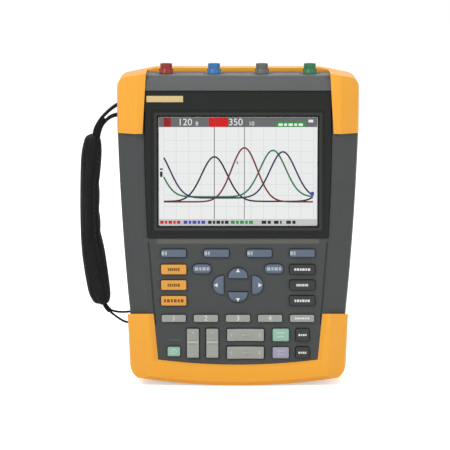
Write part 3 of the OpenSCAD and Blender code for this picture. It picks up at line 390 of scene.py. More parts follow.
# %% Moulded plastic
def moulded(name, code, rough=0.5, grain=1400, depth=0.00006, cloud=0.05, wear=0.25, gloss=0.3):
    """Moulded plastic: fine grain, faint cloudiness, edges rubbed a little lighter."""
    material, tree, shader, where = new_material(name)
    colour = linear(code)
    cloudy = mix(tree, noise(tree, where, 22), shade(colour, 1 - cloud), shade(colour, 1 + cloud))
    speckled = mix(tree, band(tree, noise(tree, where, grain, 1), 0.3, 0.7, 0, 0.12), cloudy,
                   shade(colour, 0.75))
    worn = mix(tree, sum_of(tree, "MULTIPLY", edge_mask(tree, 0.0008), wear), speckled,
               shade(colour, 1.5))
    coated(tree, shader, where, worn, 60, (rough - 0.06, rough + 0.06), gloss)
    bumped(tree, shader, noise(tree, where, grain, 2), 0.5, depth)
    return material


shell_plastic = moulded("shell_plastic", "3f4242", rough=0.55)
# a paler copy of the shell's plastic: a painted highlight for the bevel under the bezel
bevel_plastic = moulded("bevel_plastic", "575751", rough=0.5)
panel_plastic = moulded("panel_plastic", "5b5d5e", rough=0.62, gloss=0.2)
stand_plastic = moulded("stand_plastic", "4c4f50", rough=0.5)
bezel_plastic = moulded("bezel_plastic", "1f211f", rough=0.42, depth=0.00003, cloud=0.08, wear=0.1,
                         gloss=0.15)
black_plastic = moulded("black_plastic", "1c1d1d", rough=0.5)
battery_plastic = moulded("battery_plastic", "2c3032", rough=0.55)
print("moulded finishes", len(bpy.data.materials))

# %% Soft guard, seal, mat and flap
def elastomer(name, code, blush=0.1):
    """Soft moulded elastomer: silky, with a blush of paler colour and a few rubbed patches."""
    material, tree, shader, where = new_material(name)
    colour = linear(code)
    wide = mix(tree, noise(tree, where, 14, 4), shade(colour, 1 - blush), shade(colour, 1 + blush / 2))
    rubbed = mix(tree, sum_of(tree, "MULTIPLY", edge_mask(tree, 0.002), 0.3), wide,
                 shade(colour, 1.25))
    coated(tree, shader, where, rubbed, 35, (0.54, 0.67), 0.35)
    shader.inputs["Sheen Weight"].default_value = 0.08
    shader.inputs["Sheen Roughness"].default_value = 0.6
    bumped(tree, shader, noise(tree, where, 900, 2), 0.35, 0.00008)
    return material


guard_rubber = elastomer("guard_rubber", "eaa22c", blush=0.05)
seal_rubber = elastomer("seal_rubber", "191a1a")
mat_rubber = elastomer("mat_rubber", "4a4d4f")
flap_rubber = elastomer("flap_rubber", "26282a")
print("guard colour", [round(c, 3) for c in linear("eaa22c")])

# %% [markdown]
# A key is silicone: its body is moulded in one dark colour and its face is printed in another, so a dark line shows
# all round the face. The body colour is set darker than the silicone's own, so that line is part moulded colour and
# part painted shade. One finish does both: the part of the surface that looks to the front takes the face's colour,
# and the rounded edge and the sides keep the body's.

# %% Silicone keys
def silicone(name, face_code, body_and_shade_code):
    """A silicone key with a printed face, and a darker body colour on its sides and rounded edge that is part moulded
    colour and part painted shade.
    """
    material, tree, shader, where = new_material(name)
    face, body = linear(face_code), linear(body_and_shade_code)
    turned = tree.nodes.new("ShaderNodeSeparateXYZ")
    tree.links.new(where.node.outputs["Normal"], turned.inputs[0])
    printed = band(tree, turned.outputs["Y"], -0.9, -0.97, 0, 1)
    print_colour = mix(tree, noise(tree, where, 160), shade(face, 0.94), shade(face, 1.05))
    coated(tree, shader, where, mix(tree, printed, body, print_colour), 300, (0.42, 0.56), 0.25)
    bumped(tree, shader, noise(tree, where, 1500, 1), 0.25, 0.00005)
    return material


# second colour of each key: its sides and rounded edge, the body's colour deepened with painted shade
KEY_FINISH = {
    "key_slate": silicone("slate_key", "5c6878", "182233"),
    "key_orange": silicone("orange_key", "d89a44", "6a3e0e"),
    "key_charcoal": silicone("charcoal_key", "343635", "121312"),
    "key_grey": silicone("grey_key", "989b95", "2b2c2a"),
    "key_pale_green": silicone("green_key", "8fb5a2", "1f3d30"),
    "key_lavender": silicone("lavender_key", "9998a9", "38374a"),
}
print("key finishes", sorted(KEY_FINISH))

# %% Metal, moulded connectors and the board
def metal(name, code, rough=0.3):
    """Plain drawn metal with faint scratches."""
    material, tree, shader, where = new_material(name)
    colour = linear(code)
    streaks = mix(tree, noise(tree, where, 200), shade(colour, 0.85), colour)
    coated(tree, shader, where, streaks, 900, (rough - 0.08, rough + 0.1), 0.5)
    shader.inputs["Metallic"].default_value = 1
    return material


steel = metal("steel", "b4b8bb")
tinned = metal("tinned_sheet", "c4c8ca", 0.36)
red_plastic, blue_plastic, grey_plastic, green_plastic = (
    moulded(tint + "_connector", code, rough=0.38, wear=0.35)
    for tint, code in (("red", "973026"), ("blue", "3577ae"), ("grey", "676762"), ("green", "35784f")))
insulator = moulded("insulator", "e2ded2", rough=0.4, wear=0)
board_green = moulded("board_green", "2f6b45", rough=0.35, grain=500)
plate_paint = moulded("plate_paint", "cdb781", rough=0.3, grain=300, wear=0.1)
lcd_frame = moulded("lcd_frame", "c9cccf", rough=0.4)
print("metals and connectors", steel.name, tinned.name, red_plastic.name)

# %% Woven nylon
def along(tree, where, x, y, z):
    """Distance along a direction."""
    node = tree.nodes.new("ShaderNodeVectorMath")
    node.operation = "DOT_PRODUCT"
    node.inputs[1].default_value = (x, y, z)
    tree.links.new(where, node.inputs[0])
    return node.outputs["Value"]


def threads(tree, way, pitch):
    """A wave from -1 to 1, one for each thread."""
    return sum_of(tree, "SINE", sum_of(tree, "MULTIPLY", way, 2 * math.pi / pitch), 0)


def woven(name, code, pitch, relief, first, second):
    """Woven nylon: threads along two directions pass over and under, with a soft sheen; the hollows between threads
    are painted darker as shade.
    """
    material, tree, shader, where = new_material(name)
    colour = linear(code)
    crossed = sum_of(tree, "MULTIPLY", threads(tree, along(tree, where, *first), pitch),
                     threads(tree, along(tree, where, *second), pitch))
    height = band(tree, crossed, -1, 1, 0, 1)
    rubbed = mix(tree, noise(tree, where, 45, 4), shade(colour, 0.75), shade(colour, 1.5))
    # low parts of the weave take a darker colour: painted shade in the hollows between threads
    coated(tree, shader, where, mix(tree, height, shade(colour, 0.55), rubbed), 120, (0.75, 0.95),
           0.15)
    shader.inputs["Sheen Weight"].default_value = 0.06
    bumped(tree, shader, height, 0.6, relief)
    return material


grip_cloth = woven("grip_cloth", "1d1c1d", 0.9 * MM, 0.00025, (1, 1, 0), (0, 0, 1))
strap_nylon = woven("strap_nylon", "191919", 1.3 * MM, 0.0003, (0, 1, 0), (0.9, 0, 0.35))
stitch_thread = woven("stitch_thread", "3b3b3d", 0.4 * MM, 0.0001, (1, 1, 0), (0, 0, 1))
print("woven finishes", grip_cloth.name, strap_nylon.name)

# %% Display window
PICTURE_MARGIN = 0.5 * MM
BLACK_LINE = 1.7 * MM
PAINTED_HIGHLIGHT_LINE = 4 * MM


def frame_share(tree, axes, low, high, margin):
    """One inside a rectangle between two corners, grown by a margin, and zero outside."""
    shares = []
    for axis, first, last in (("X", low.x, high.x), ("Z", low.z, high.z)):
        middle, half = (first + last) / 2, (last - first) / 2 + margin
        away = sum_of(tree, "ABSOLUTE", sum_of(tree, "SUBTRACT", axes.outputs[axis], middle), 0)
        shares.append(sum_of(tree, "LESS_THAN", away, half))
    return sum_of(tree, "MULTIPLY", *shares)


def window_glass(picture_low, picture_high):
    """Clear glass over the picture, a black line, a paler line that is a painted highlight on the edge of the opening,
    and dark print outside.
    """
    material, tree, shader, where = new_material("window_glass")
    axes = tree.nodes.new("ShaderNodeSeparateXYZ")
    tree.links.new(where, axes.inputs[0])
    clear = frame_share(tree, axes, picture_low, picture_high, PICTURE_MARGIN)
    black = frame_share(tree, axes, picture_low, picture_high, BLACK_LINE)
    paler = frame_share(tree, axes, picture_low, picture_high, PAINTED_HIGHLIGHT_LINE)
    # the paler band round the black line is a painted highlight on the opening's chamfered edge; outside it is dark
    # print
    print_and_highlight_tone = mix(tree, paler, linear("1f211f"), linear("333532"))
    tree.links.new(mix(tree, black, print_and_highlight_tone, linear("060706")), shader.inputs["Base Color"])
    plain(shader, 0.12, 0.12)
    tree.links.new(band(tree, clear, 0, 1, 1, 0.03), shader.inputs["Alpha"])
    return material


print("window finish ready")

# %% [markdown]
# Most CAD nodes are right as they are, so they only get their finish. A few shells catch the light
# on edges that are moulded round, and CAD left those edges sharp. For these a copy of the node's
# mesh is taken, its doubled points are merged, its flat faces are joined, and a bevel is applied.
# The copy then stands for the node.

# %% Dress a CAD node, or make a softened copy of it
MERGE = 0.002 * MM
FLAT = math.radians(0.6)
SMOOTH = math.radians(40)


def pick(*objects):
    """Selects these objects alone and makes the first one active."""
    bpy.ops.object.select_all(action="DESELECT")
    for obj in objects:
        obj.select_set(True)
    bpy.context.view_layer.objects.active = objects[0]


def dress(piece, material):
    """Gives a piece one finish."""
    piece.data.materials.clear()
    piece.data.materials.append(material)


def settle():
    """Writes the active object's place, turn and size into its mesh."""
    bpy.ops.object.transform_apply(location=True, rotation=True, scale=True)


def ride_for(piece, node, material):
    """A piece takes a node's place: its body, its slot and its finish."""
    dress(piece, material)
    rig.ride(piece, body_of[node])
    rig.replaces(piece, node)
    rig.slot(piece, slot_of[node])
    return piece


def shaped(piece, kind, **settings):
    """Adds a modifier to the active piece and applies it."""
    modifier = piece.modifiers.new(kind, kind)
    for setting, value in settings.items():
        setattr(modifier, setting, value)
    bpy.ops.object.modifier_apply(modifier=modifier.name)


def rounded(piece, width, segments=2, angle=50):
    """Rounds the edges sharper than an angle in degrees."""
    shaped(piece, "BEVEL", width=width, segments=segments, angle_limit=math.radians(angle))


def merged_copy(node, name, flat=0):
    """A copy of a node with its doubled points merged and its faces joined where they lie flat."""
    piece = placed(name, nodes[node].data.copy())
    pick(piece)
    bpy.ops.object.mode_set(mode="EDIT")
    bpy.ops.mesh.select_all(action="SELECT")
    bpy.ops.mesh.customdata_custom_splitnormals_clear()
    bpy.ops.mesh.remove_doubles(threshold=MERGE)
    if flat:
        bpy.ops.mesh.dissolve_limited(angle_limit=flat)
    bpy.ops.object.mode_set(mode="OBJECT")
    return piece


def softened(node, name, width, segments=3, angle=30):
    """A merged copy of a node's mesh with round edges."""
    piece = merged_copy(node, name, FLAT)
    rounded(piece, width, segments, angle)
    bpy.ops.object.shade_smooth_by_angle(angle=SMOOTH)
    return piece


def one_piece(name, parts, material, node):
    """Joins parts into one finished piece, which rides a node's body in the node's slot."""
    pick(*parts)
    bpy.ops.object.join()
    piece = bpy.context.object
    piece.name = name
    dress(piece, material)
    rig.ride(piece, body_of[node])
    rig.slot(piece, slot_of[node])
    return piece


slot_of = {sub["node"]: sub["material_slot"] for sub in frame["record"]["subparts"]}
print("slots", len(set(slot_of.values())))

# %% Finishes for the CAD nodes that stay
KEPT = {
    "rear_case": shell_plastic, "case_seal": seal_rubber, "lcd_panel": lcd_frame,
    "keypad_mat": mat_rubber, "main_board": board_green, "input_shield": tinned,
    "bnc_red": red_plastic, "bnc_blue": blue_plastic, "bnc_grey": grey_plastic,
    "bnc_green": green_plastic, "bnc_contacts": insulator, "stand_hinge_pins": steel,
    "battery_pack": battery_plastic, "battery_latch_left": steel, "battery_latch_right": steel,
    "port_sockets": steel, "case_screws": steel,
}
for node, material in KEPT.items():
    dress(nodes[node], material)
print("nodes finished in place", len(KEPT))

# %% [markdown]
# Two lines are pressed into the front shell: a bevel under the bezel that catches the light, and a
# groove on each side of the keypad. They are cut from a merged copy of the shell with a Boolean.
# The cutters reach out in front of the face, so the cut is clean. The bevel's own face gets a paler copy of the
# shell's finish, a painted highlight for the light it catches.

# %% Front shell: bevel and grooves
face_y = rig.box("front_case")[0].y
bezel_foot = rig.box("screen_bezel")[0].z
BEVEL_H, BEVEL_D, BEVEL_HALF = 4.4 * MM, 2.9 * MM, 65 * MM
CUTTER_T = 2 * MM
GROOVE_R = 0.9 * MM
GROOVE_TOP, GROOVE_FOOT = (71.8, 120), (66.4, 50)


def bevel_cutter():
    """A block whose inner lower edge lies on the face and whose upper edge lies behind it."""
    low_z, high_z = bezel_foot - BEVEL_H, bezel_foot + 0.3 * MM
    middle = Vector((0, face_y - CUTTER_T / 2, (low_z + high_z) / 2))
    bpy.ops.mesh.primitive_cube_add(size=1, location=middle)
    cutter = bpy.context.object
    cutter.scale = (2 * BEVEL_HALF, CUTTER_T, high_z - low_z)
    settle()
    for vertex in cutter.data.vertices:
        vertex.select = vertex.co.y > middle.y and vertex.co.z > middle.z
    for part in list(cutter.data.edges) + list(cutter.data.polygons):
        part.select = all(cutter.data.vertices[v].select for v in part.vertices)
    bpy.ops.object.mode_set(mode="EDIT")
    bpy.ops.transform.translate(value=(0, BEVEL_D, 0))
    bpy.ops.object.mode_set(mode="OBJECT")
    return cutter


def groove_cutter(side):
    """A four-sided rod half sunk in the face, which leaves a V."""
    top = Vector((side * GROOVE_TOP[0], 0, GROOVE_TOP[1])) * MM
    foot = Vector((side * GROOVE_FOOT[0], 0, GROOVE_FOOT[1])) * MM
    middle = (top + foot) / 2
    middle.y = face_y
    lean = math.atan2(top.x - foot.x, top.z - foot.z)
    bpy.ops.mesh.primitive_cylinder_add(vertices=4, radius=GROOVE_R, depth=(top - foot).length,
                                        location=middle, rotation=(0, lean, 0))
    settle()
    return bpy.context.object


cutters = [bevel_cutter(), groove_cutter(-1), groove_cutter(1)]
front_shell = merged_copy("front_case", "front_shell")
for cutter in cutters:
    shaped(front_shell, "BOOLEAN", operation="DIFFERENCE", solver="EXACT", object=cutter)
    bpy.data.objects.remove(cutter)
bpy.ops.object.shade_smooth_by_angle(angle=math.radians(25))
ride_for(front_shell, "front_case", shell_plastic)
# the bevel's upward faces take the paler finish: a painted highlight where the bevel catches the light
front_shell.data.materials.append(bevel_plastic)
for face in front_shell.data.polygons:
    slope = 0.3 < face.normal.z < 0.9 and abs(face.center.x) < BEVEL_HALF
    if slope and bezel_foot - BEVEL_H < face.center.z < bezel_foot + MM:
        face.material_index = 1
print("front shell faces", len(front_shell.data.polygons))

# %% Bezel, input panel and the small covers with round edges
SOFT_EDGES = {  # node: piece name, finish and edge width in millimetres
    "screen_bezel": ("display_bezel", bezel_plastic, 0.5),
    "input_panel": ("input_cover", panel_plastic, 0.7),
    "tilt_stand": ("stand_leg", stand_plastic, 0.8),
    "battery_cover": ("battery_door", shell_plastic, 0.5),
    "stand_release": ("release_slider", black_plastic, 0.4),
    "port_cover": ("port_flap", flap_rubber, 0.5),
    "name_plate": ("bare_plate", plate_paint, 0.12),
}
for node, (name, material, width) in SOFT_EDGES.items():
    piece = ride_for(softened(node, name, width * MM, 2, 40), node, material)
    print(name, len(piece.data.polygons))

# %% Guards
for node, name in (("top_holster", "top_guard"), ("bottom_holster", "bottom_guard")):
    guard = ride_for(softened(node, name, 1.6 * MM), node, guard_rubber)
    print(name, "faces", len(guard.data.polygons))

# %% Keys
caps = []
for node, slot in slot_of.items():
    if slot in KEY_FINISH:
        cap = softened(node, node.replace("_key", "") + "_cap", 0.55 * MM)
        caps.append(ride_for(cap, node, KEY_FINISH[slot]))
print("keys", len(caps), "faces on the first", len(caps[0].data.polygons))

# %% Window
lcd_low, lcd_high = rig.box("lcd_panel")
SCREEN_W, SCREEN_H = 126.2 * MM, 86.6 * MM
screen_z = (lcd_low.z + lcd_high.z) / 2 - 0.7 * MM
picture_low = Vector((-SCREEN_W / 2, lcd_low.y, screen_z - SCREEN_H / 2))
picture_high = Vector((SCREEN_W / 2, lcd_low.y, screen_z + SCREEN_H / 2))
dress(nodes["display_window"], window_glass(picture_low, picture_high))
print("picture from", picture_low, "to", picture_high)

# %% [markdown]
# The strap is a foam pad in a sewn nylon cover, with a loop of webbing at each end that goes round
# a bar in the side of the case. The pad could be a smooth loft, but cloth shows its filling. So a
# plain blank is pulled up from its lower end, swells a little under cloth pressure, and gets its
# seams and stitches last, because the simulation's coarse mesh would swallow them.

# %% Strap: the blank of the pad
STATIONS = [  # height, middle, thickness and width of the pad in millimetres
    (62.3, -109.8, 9, 22), (67, -110.3, 15, 30), (74, -112.3, 17, 34), (90, -115.4, 15.5, 36),
    (104, -118.1, 14.2, 36), (120, -120.1, 11.9, 36), (140, -120.3, 10.4, 36),
    (160, -120.2, 10.9, 36), (176, -119, 13.6, 36), (187, -117.8, 15.6, 34),
    (194, -117, 13.8, 29), (201, -116.8, 9, 20),
]
z, x, thick, wide = STATIONS[0]
bpy.ops.mesh.primitive_plane_add(size=1, location=(x * MM, 0, z * MM))
blank = bpy.context.object
blank.scale = (thick * MM, wide * MM, 1)
settle()
bpy.ops.object.mode_set(mode="EDIT")
bpy.ops.mesh.select_all(action="SELECT")
for (z0, x0, thick0, wide0), (z1, x1, thick1, wide1) in zip(STATIONS, STATIONS[1:]):
    bpy.ops.mesh.extrude_region_move(
        TRANSFORM_OT_translate={"value": ((x1 - x0) * MM, 0, (z1 - z0) * MM)})
    bpy.ops.transform.resize(value=(thick1 / thick0, wide1 / wide0, 1),
                             center_override=(x1 * MM, 0, z1 * MM))
bpy.ops.mesh.select_all(action="SELECT")
bpy.ops.mesh.normals_make_consistent(inside=False)
bpy.ops.object.mode_set(mode="OBJECT")
rounded(blank, 3 * MM)
print("blank faces", len(blank.data.polygons))

# %% Strap: the pad swells
VOXEL = 3.6 * MM
REACH = 5 * MM
PRESSURE, MOMENTS = 4, 20
pad = placed("strap_pad", blank.data.copy())
bpy.data.objects.remove(blank)
pick(pad)
shaped(pad, "REMESH", mode="VOXEL", voxel_size=VOXEL)
start = [v.co.copy() for v in pad.data.vertices]
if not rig.quick():
    cloth = pad.modifiers.new("cloth", "CLOTH")
    cloth.settings.use_pressure = True
    cloth.settings.uniform_pressure_force = PRESSURE
    cloth.settings.effector_weights.gravity = 0
    for moment in range(1, MOMENTS + 1):
        bpy.context.scene.frame_set(moment)
    bpy.ops.object.modifier_apply(modifier="cloth")
    bpy.context.scene.frame_set(1)
moves = []
for vertex, place in zip(pad.data.vertices, start):
    move = vertex.co - place
    moves.append(move.length / MM)
    if move.length > REACH:
        vertex.co = place + move.normalized() * REACH
print("points", len(moves), "mean move", round(sum(moves) / len(moves), 2), "most", round(max(moves), 2))

# %% Strap: seams and gathered ends
SEAM_AT, SEAM_DEPTH, SEAM_W = 0.58, 0.9 * MM, 0.9 * MM
GATHER, GATHER_L, FOLDS = 0.5 * MM, 13 * MM, 9


def pad_at(height):
    """Middle and half thickness of the pad at a height."""
    for (z0, x0, thick0, _), (z1, x1, thick1, _) in zip(STATIONS, STATIONS[1:]):
        if height <= z1 * MM or z1 == STATIONS[-1][0]:
            share = min(1, max(0, (height / MM - z0) / (z1 - z0)))
            return (x0 + (x1 - x0) * share) * MM, (thick0 + (thick1 - thick0) * share) * MM / 2


pick(pad)
shaped(pad, "SUBSURF", levels=2)
pad_low = min(v.co.z for v in pad.data.vertices)
pad_high = max(v.co.z for v in pad.data.vertices)
for vertex in pad.data.vertices:
    middle, half = pad_at(vertex.co.z)
    away = (abs(vertex.co.x - middle) - SEAM_AT * half) / SEAM_W
    side = min(1, max(0, (abs(vertex.normal.y) - 0.3) / 0.3))
    sunk = SEAM_DEPTH * side * math.exp(-away * away)
    end = max(0, 1 - min(vertex.co.z - pad_low, pad_high - vertex.co.z) / GATHER_L)
    sunk += GATHER * end * math.sin(FOLDS * math.atan2(vertex.co.y, vertex.co.x - middle))
    vertex.co -= vertex.normal * sunk
bpy.ops.object.shade_smooth()
ride_for(pad, "strap_grip", grip_cloth)
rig.padded(pad, fill=0.8)
print("pad faces", len(pad.data.polygons))

# %% Strap: stitches
STITCH_PITCH, FROM_SEAM = 4 * MM, 1.9 * MM
STITCHED_FROM, STITCHED_TO = 72 * MM, 192 * MM
bpy.ops.mesh.primitive_ico_sphere_add(subdivisions=1, radius=1 * MM)
stitch = bpy.context.object
stitch.scale = (0.32, 0.28, 1.35)
settle()
pad_tree = tree_of(pad)
stitches = []
for side in (-1, 1):
    for front in (-1, 1):
        height = STITCHED_FROM
        while height < STITCHED_TO:
            middle, half = pad_at(height)
            lean = math.atan2(pad_at(height + 2 * MM)[0] - middle, 2 * MM)
            place = Vector((middle + side * (SEAM_AT * half + FROM_SEAM), front * 50 * MM, height))
            hit = pad_tree.ray_cast(place, Vector((0, -front, 0)))
            if hit[0]:
                copy = placed("stitch", stitch.data.copy())
                copy.data.transform(Matrix.Translation(hit[0]) @ Matrix.Rotation(lean, 4, "Y"))
                stitches.append(copy)
            height += STITCH_PITCH
bpy.data.objects.remove(stitch)
one_piece("strap_stitches", stitches, stitch_thread, "strap_grip")
print("stitches", len(stitches))

# %% [markdown]
# The webbing is flat tape, so it is pulled along its route one short step at a time, smoothed with
# a subdivision and given its thickness by Solidify. Each loop starts inside the pad, passes round
# its bar and comes back beside itself. The upper one leaves the pad in a sewn sleeve, the lower
# one is a thin tape that leaves a sewn tail.

# %% Strap: loops of webbing
WEBBING_W, WEBBING_T = 14 * MM, 2.3 * MM
CORD_W, CORD_T = 5 * MM, 1.2 * MM
UPPER_LOOP = [
    (-116.3, 194), (-116.3, 201), (-115, 206.6), (-111.6, 212), (-107, 217.3), (-101.8, 222),
    (-96.8, 225.1), (-92.85, 225.8), (-89.6, 224.2), (-88.4, 221.3), (-89.6, 218.4), (-92.85, 216.8),
    (-98, 216.7), (-103, 215.1), (-107.4, 211.3), (-110.5, 206.4), (-112.3, 200.6), (-113.2, 194),
]
SLEEVE = [(-115, 196), (-114.5, 202), (-113, 206.6), (-110.8, 210.6), (-108.6, 213.6)]
LOWER_LOOP = [
    (-109.6, 67), (-108, 61.4), (-104.8, 57.5), (-99.6, 55.6), (-92, 55.2), (-84.06, 56.2),
    (-80.9, 55.2), (-79.8, 52.2), (-80.9, 49.2), (-84.06, 48.2), (-89, 46.6), (-93.4, 47.9),
    (-98.8, 51.6), (-104.2, 55.8), (-108.6, 60.6), (-110.4, 67),
]
TAIL = [(-110.2, 69), (-109, 63), (-106.8, 59.2), (-104, 56.4)]


def webbing_loop(route, width=WEBBING_W, thickness=WEBBING_T):
    """A strip of webbing pulled along a route of X and Z places."""
    places = [Vector((x, 0, z)) * MM for x, z in route]
    step = places[1] - places[0]
    bpy.ops.mesh.primitive_plane_add(size=1, location=(places[0] + places[1]) / 2,
                                     rotation=(0, -math.atan2(step.z, step.x), 0))
    strip = bpy.context.object
    strip.scale = (step.length, width, 1)
    settle()
    corners = strip.data.vertices
    for vertex in corners:
        vertex.select = (Vector((vertex.co.x, 0, vertex.co.z)) - places[1]).length < 0.1 * MM
    for edge in strip.data.edges:
        edge.select = all(corners[v].select for v in edge.vertices)
    strip.data.polygons[0].select = False
    bpy.ops.object.mode_set(mode="EDIT")
    for here, there in zip(places[1:], places[2:]):
        bpy.ops.mesh.extrude_edges_move(TRANSFORM_OT_translate={"value": there - here})
    bpy.ops.object.mode_set(mode="OBJECT")
    shaped(strip, "SUBSURF", levels=3, boundary_smooth="PRESERVE_CORNERS")
    shaped(strip, "SOLIDIFY", thickness=thickness, offset=0)
    rounded(strip, 0.4 * MM)
    bpy.ops.object.shade_smooth_by_angle(angle=SMOOTH)
    return strip


loops = one_piece("strap_loops", [webbing_loop(UPPER_LOOP), webbing_loop(SLEEVE, 15 * MM, 5 * MM),
                                  webbing_loop(TAIL, 9 * MM, 3 * MM),
                                  webbing_loop(LOWER_LOOP, CORD_W, CORD_T)], strap_nylon,
                  "strap_webbing")
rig.replaces(loops, "strap_webbing")
print("webbing faces", len(loops.data.polygons))

# %% [markdown]
# The display shows four pulse traces on a white plot, two cursor lines and two bars of read-outs.
# On the real one this is a lit picture. Here each layer is a thin flat piece that gives its own
# light, a fiftieth of a millimetre in front of the last, so the picture stays crisp from near.
# Where the real bars hold words, these hold plain numbers and dashes.

# %% Lit and printed colours
def lit(name, code):
    """A colour of the picture, which gives its own light."""
    material, tree, shader, where = new_material(name)
    plain(shader, 0.6, 0, (0.01, 0.01, 0.01, 1))
    uneven = mix(tree, noise(tree, where, 40), shade(linear(code), 0.985), linear(code))
    tree.links.new(uneven, shader.inputs["Emission Color"])
    shader.inputs["Emission Strength"].default_value = 0.95
    return material


def printed(name, code):
    """Flat ink on a key or on the case."""
    material, tree, shader, where = new_material(name)
    colour = linear(code)
    tree.links.new(mix(tree, noise(tree, where, 700), shade(colour, 0.9), colour),
                   shader.inputs["Base Color"])
    plain(shader, 0.55, 0.3)
    return material


LIT = {name: lit("lit_" + name, code) for name, code in {
    "white": "f6f7f7", "line": "dfe2e3", "bar": "6f7072", "pale_bar": "cdcfd1", "red": "d92222",
    "dark_red": "9c2422", "green": "2f9a45", "blue": "4a4ac0", "black": "26262a",
    "cursor": "3e4042", "dark_trace": "2a262f", "red_trace": "7c3439", "green_trace": "3b7d5c",
    "blue_trace": "35375f"}.items()}
INK = {name: printed(name + "_ink", code) for name, code in {
    "white": "dcdedb", "brown": "74470f", "pale": "b4b7af", "slate": "aab3bd", "mint": "b4d6c4",
    "lilac": "b3b1ca", "dim": "5b5c63"}.items()}
print("lit colours", len(LIT), "inks", len(INK))

# %% Thin blocks, plain numbers and rows of dashes
SIZE_FOR_HEIGHT = 1.38
SHORT_WORD = (3, 1, 2, 1, 3, 1, 2)
WORD = (3, 1, 2, 1, 3, 1, 2, 1, 3)
LONG_WORD = (2, 1, 3, 1, 2, 1, 3, 1, 2, 1, 3)


def slab(low_x, high_x, low_z, high_z, front_y, depth):
    """A thin block whose front lies at front_y."""
    middle = ((low_x + high_x) / 2, front_y + depth / 2, (low_z + high_z) / 2)
    bpy.ops.mesh.primitive_cube_add(size=1, location=middle)
    block = bpy.context.object
    block.scale = (high_x - low_x, depth, high_z - low_z)
    settle()
    return block


def figures(text, x, z, height, front_y, depth):
    """Plain numbers whose middle is at x, z."""
    bpy.ops.object.text_add(rotation=(math.pi / 2, 0, 0))
    writing = bpy.context.object
    writing.data.body = text
    writing.data.align_x = "CENTER"
    writing.data.align_y = "CENTER"
    writing.data.size = height * SIZE_FOR_HEIGHT
    writing.data.extrude = depth / 2
    bpy.ops.object.convert(target="MESH")
    writing = bpy.context.object
    writing.location = (x, front_y + depth / 2, z)
    settle()
    return writing


def runs(start, length, shares):
    """Start and length of each dash in place of a word; the shares are dashes and gaps in turn."""
    made = []
    for i, share in enumerate(shares):
        step = length * share / sum(shares)
        if i % 2 == 0:
            made.append((start, step))
        start += step
    return made


print("a word of", len(runs(0, 1, WORD)), "dashes, a long one of", len(runs(0, 1, LONG_WORD)))

# %% Picture: plot, bars and grid
THIN = 0.01 * MM
STEP = 0.018 * MM


def on_picture(across, down):
    """A place on the picture, as shares of its width and height from the upper left."""
    return picture_low.x + across * SCREEN_W, picture_high.z - down * SCREEN_H


def block(left, top, right, bottom, layer):
    """A thin block of the picture; its sides are shares of the picture's size."""
    low_x, high_z = on_picture(left, top)
    high_x, low_z = on_picture(right, bottom)
    return slab(low_x, high_x, low_z, high_z, picture_low.y - layer * STEP, THIN)


TOP_BAR, LOW_BAR = 0.088, 0.942
screen = {
    "plot_white": ("white", [block(0, 0, 1, 1, 1)]),
    "top_bar": ("bar", [block(0, 0, 1, TOP_BAR, 2)]),
    "low_bar": ("pale_bar", [block(0, LOW_BAR, 1, 1, 2)]),
}
COLUMNS = [0.03 + i * 0.079 for i in range(13)]
ROWS = [0.21 + i * 0.1022 for i in range(7)]
lines = [block(c - 0.0014, TOP_BAR, c + 0.0014, LOW_BAR, 2) for c in COLUMNS]
lines += [block(0.03, r - 0.002, 0.978, r + 0.002, 2) for r in ROWS]
screen["grid_lines"] = ("line", lines)
print("columns", len(COLUMNS), "rows", len(ROWS))

# %% Picture: traces
PERIOD = 100.5 * MM
SPREAD = 10.2 * MM
TRACE_W = 1.3 * MM


def trace(name, peak, rest, colour, layer):
    """A train of round pulses through a peak, drawn as a flat ribbon."""
    top = place_of(peak, nodes["display_window"])
    low_x, rest_z = on_picture(0.03, rest)
    high_x = on_picture(0.975, rest)[0]

    def height(x):
        pulses = [math.exp(-(((x - top.x - k * PERIOD) / SPREAD) ** 2) / 2) for k in (-1, 0, 1)]
        return rest_z + (top.z - rest_z) * sum(pulses)

    bpy.ops.mesh.primitive_grid_add(x_subdivisions=140, y_subdivisions=1, size=1)
    ribbon = bpy.context.object
    for vertex in ribbon.data.vertices:
        x = low_x + (vertex.co.x + 0.5) * (high_x - low_x)
        slope = (height(x + 0.1 * MM) - height(x)) / (0.1 * MM)
        side = TRACE_W / 2 * (1 if vertex.co.y > 0 else -1)
        turn = math.atan(slope)
        vertex.co = (x - side * math.sin(turn), picture_low.y - layer * STEP,
                     height(x) + side * math.cos(turn))
    pick(ribbon)
    shaped(ribbon, "SOLIDIFY", thickness=THIN, offset=0)
    screen[name] = (colour, [ribbon])
    return top


peaks = {
    "dark": trace("trace_dark", "peak_dark", 0.777, "dark_trace", 3),
    "red": trace("trace_red", "peak_red", 0.781, "red_trace", 3.4),
    "green": trace("trace_green", "peak_green", 0.735, "green_trace", 3.2),
    "blue": trace("trace_blue", "peak_blue", 0.745, "blue_trace", 3.6),
}
cursors = []
for name in ("dark", "red"):
    x = peaks[name].x
    cursors.append(slab(x - 0.24 * MM, x + 0.24 * MM, on_picture(0, LOW_BAR)[1],
                        on_picture(0, TOP_BAR)[1], picture_low.y - 2.6 * STEP, THIN))
screen["cursor_lines"] = ("cursor", cursors)
print("peaks at", {n: round(p.x / MM, 1) for n, p in peaks.items()})

# %% Picture: read-outs
def dashes(left, right, shares=WORD, top=0.957, bottom=0.986, layer=3):
    """A row of short blocks in place of a word, in the lower bar unless told otherwise."""
    return [block(at, top, at + step, bottom, layer) for at, step in runs(left, right - left, shares)]


def number(text, across, down, height):
    """A plain number on the picture, its height in millimetres."""
    x, z = on_picture(across, down)
    return figures(text, x, z, height * MM, picture_low.y - 4 * STEP, THIN)


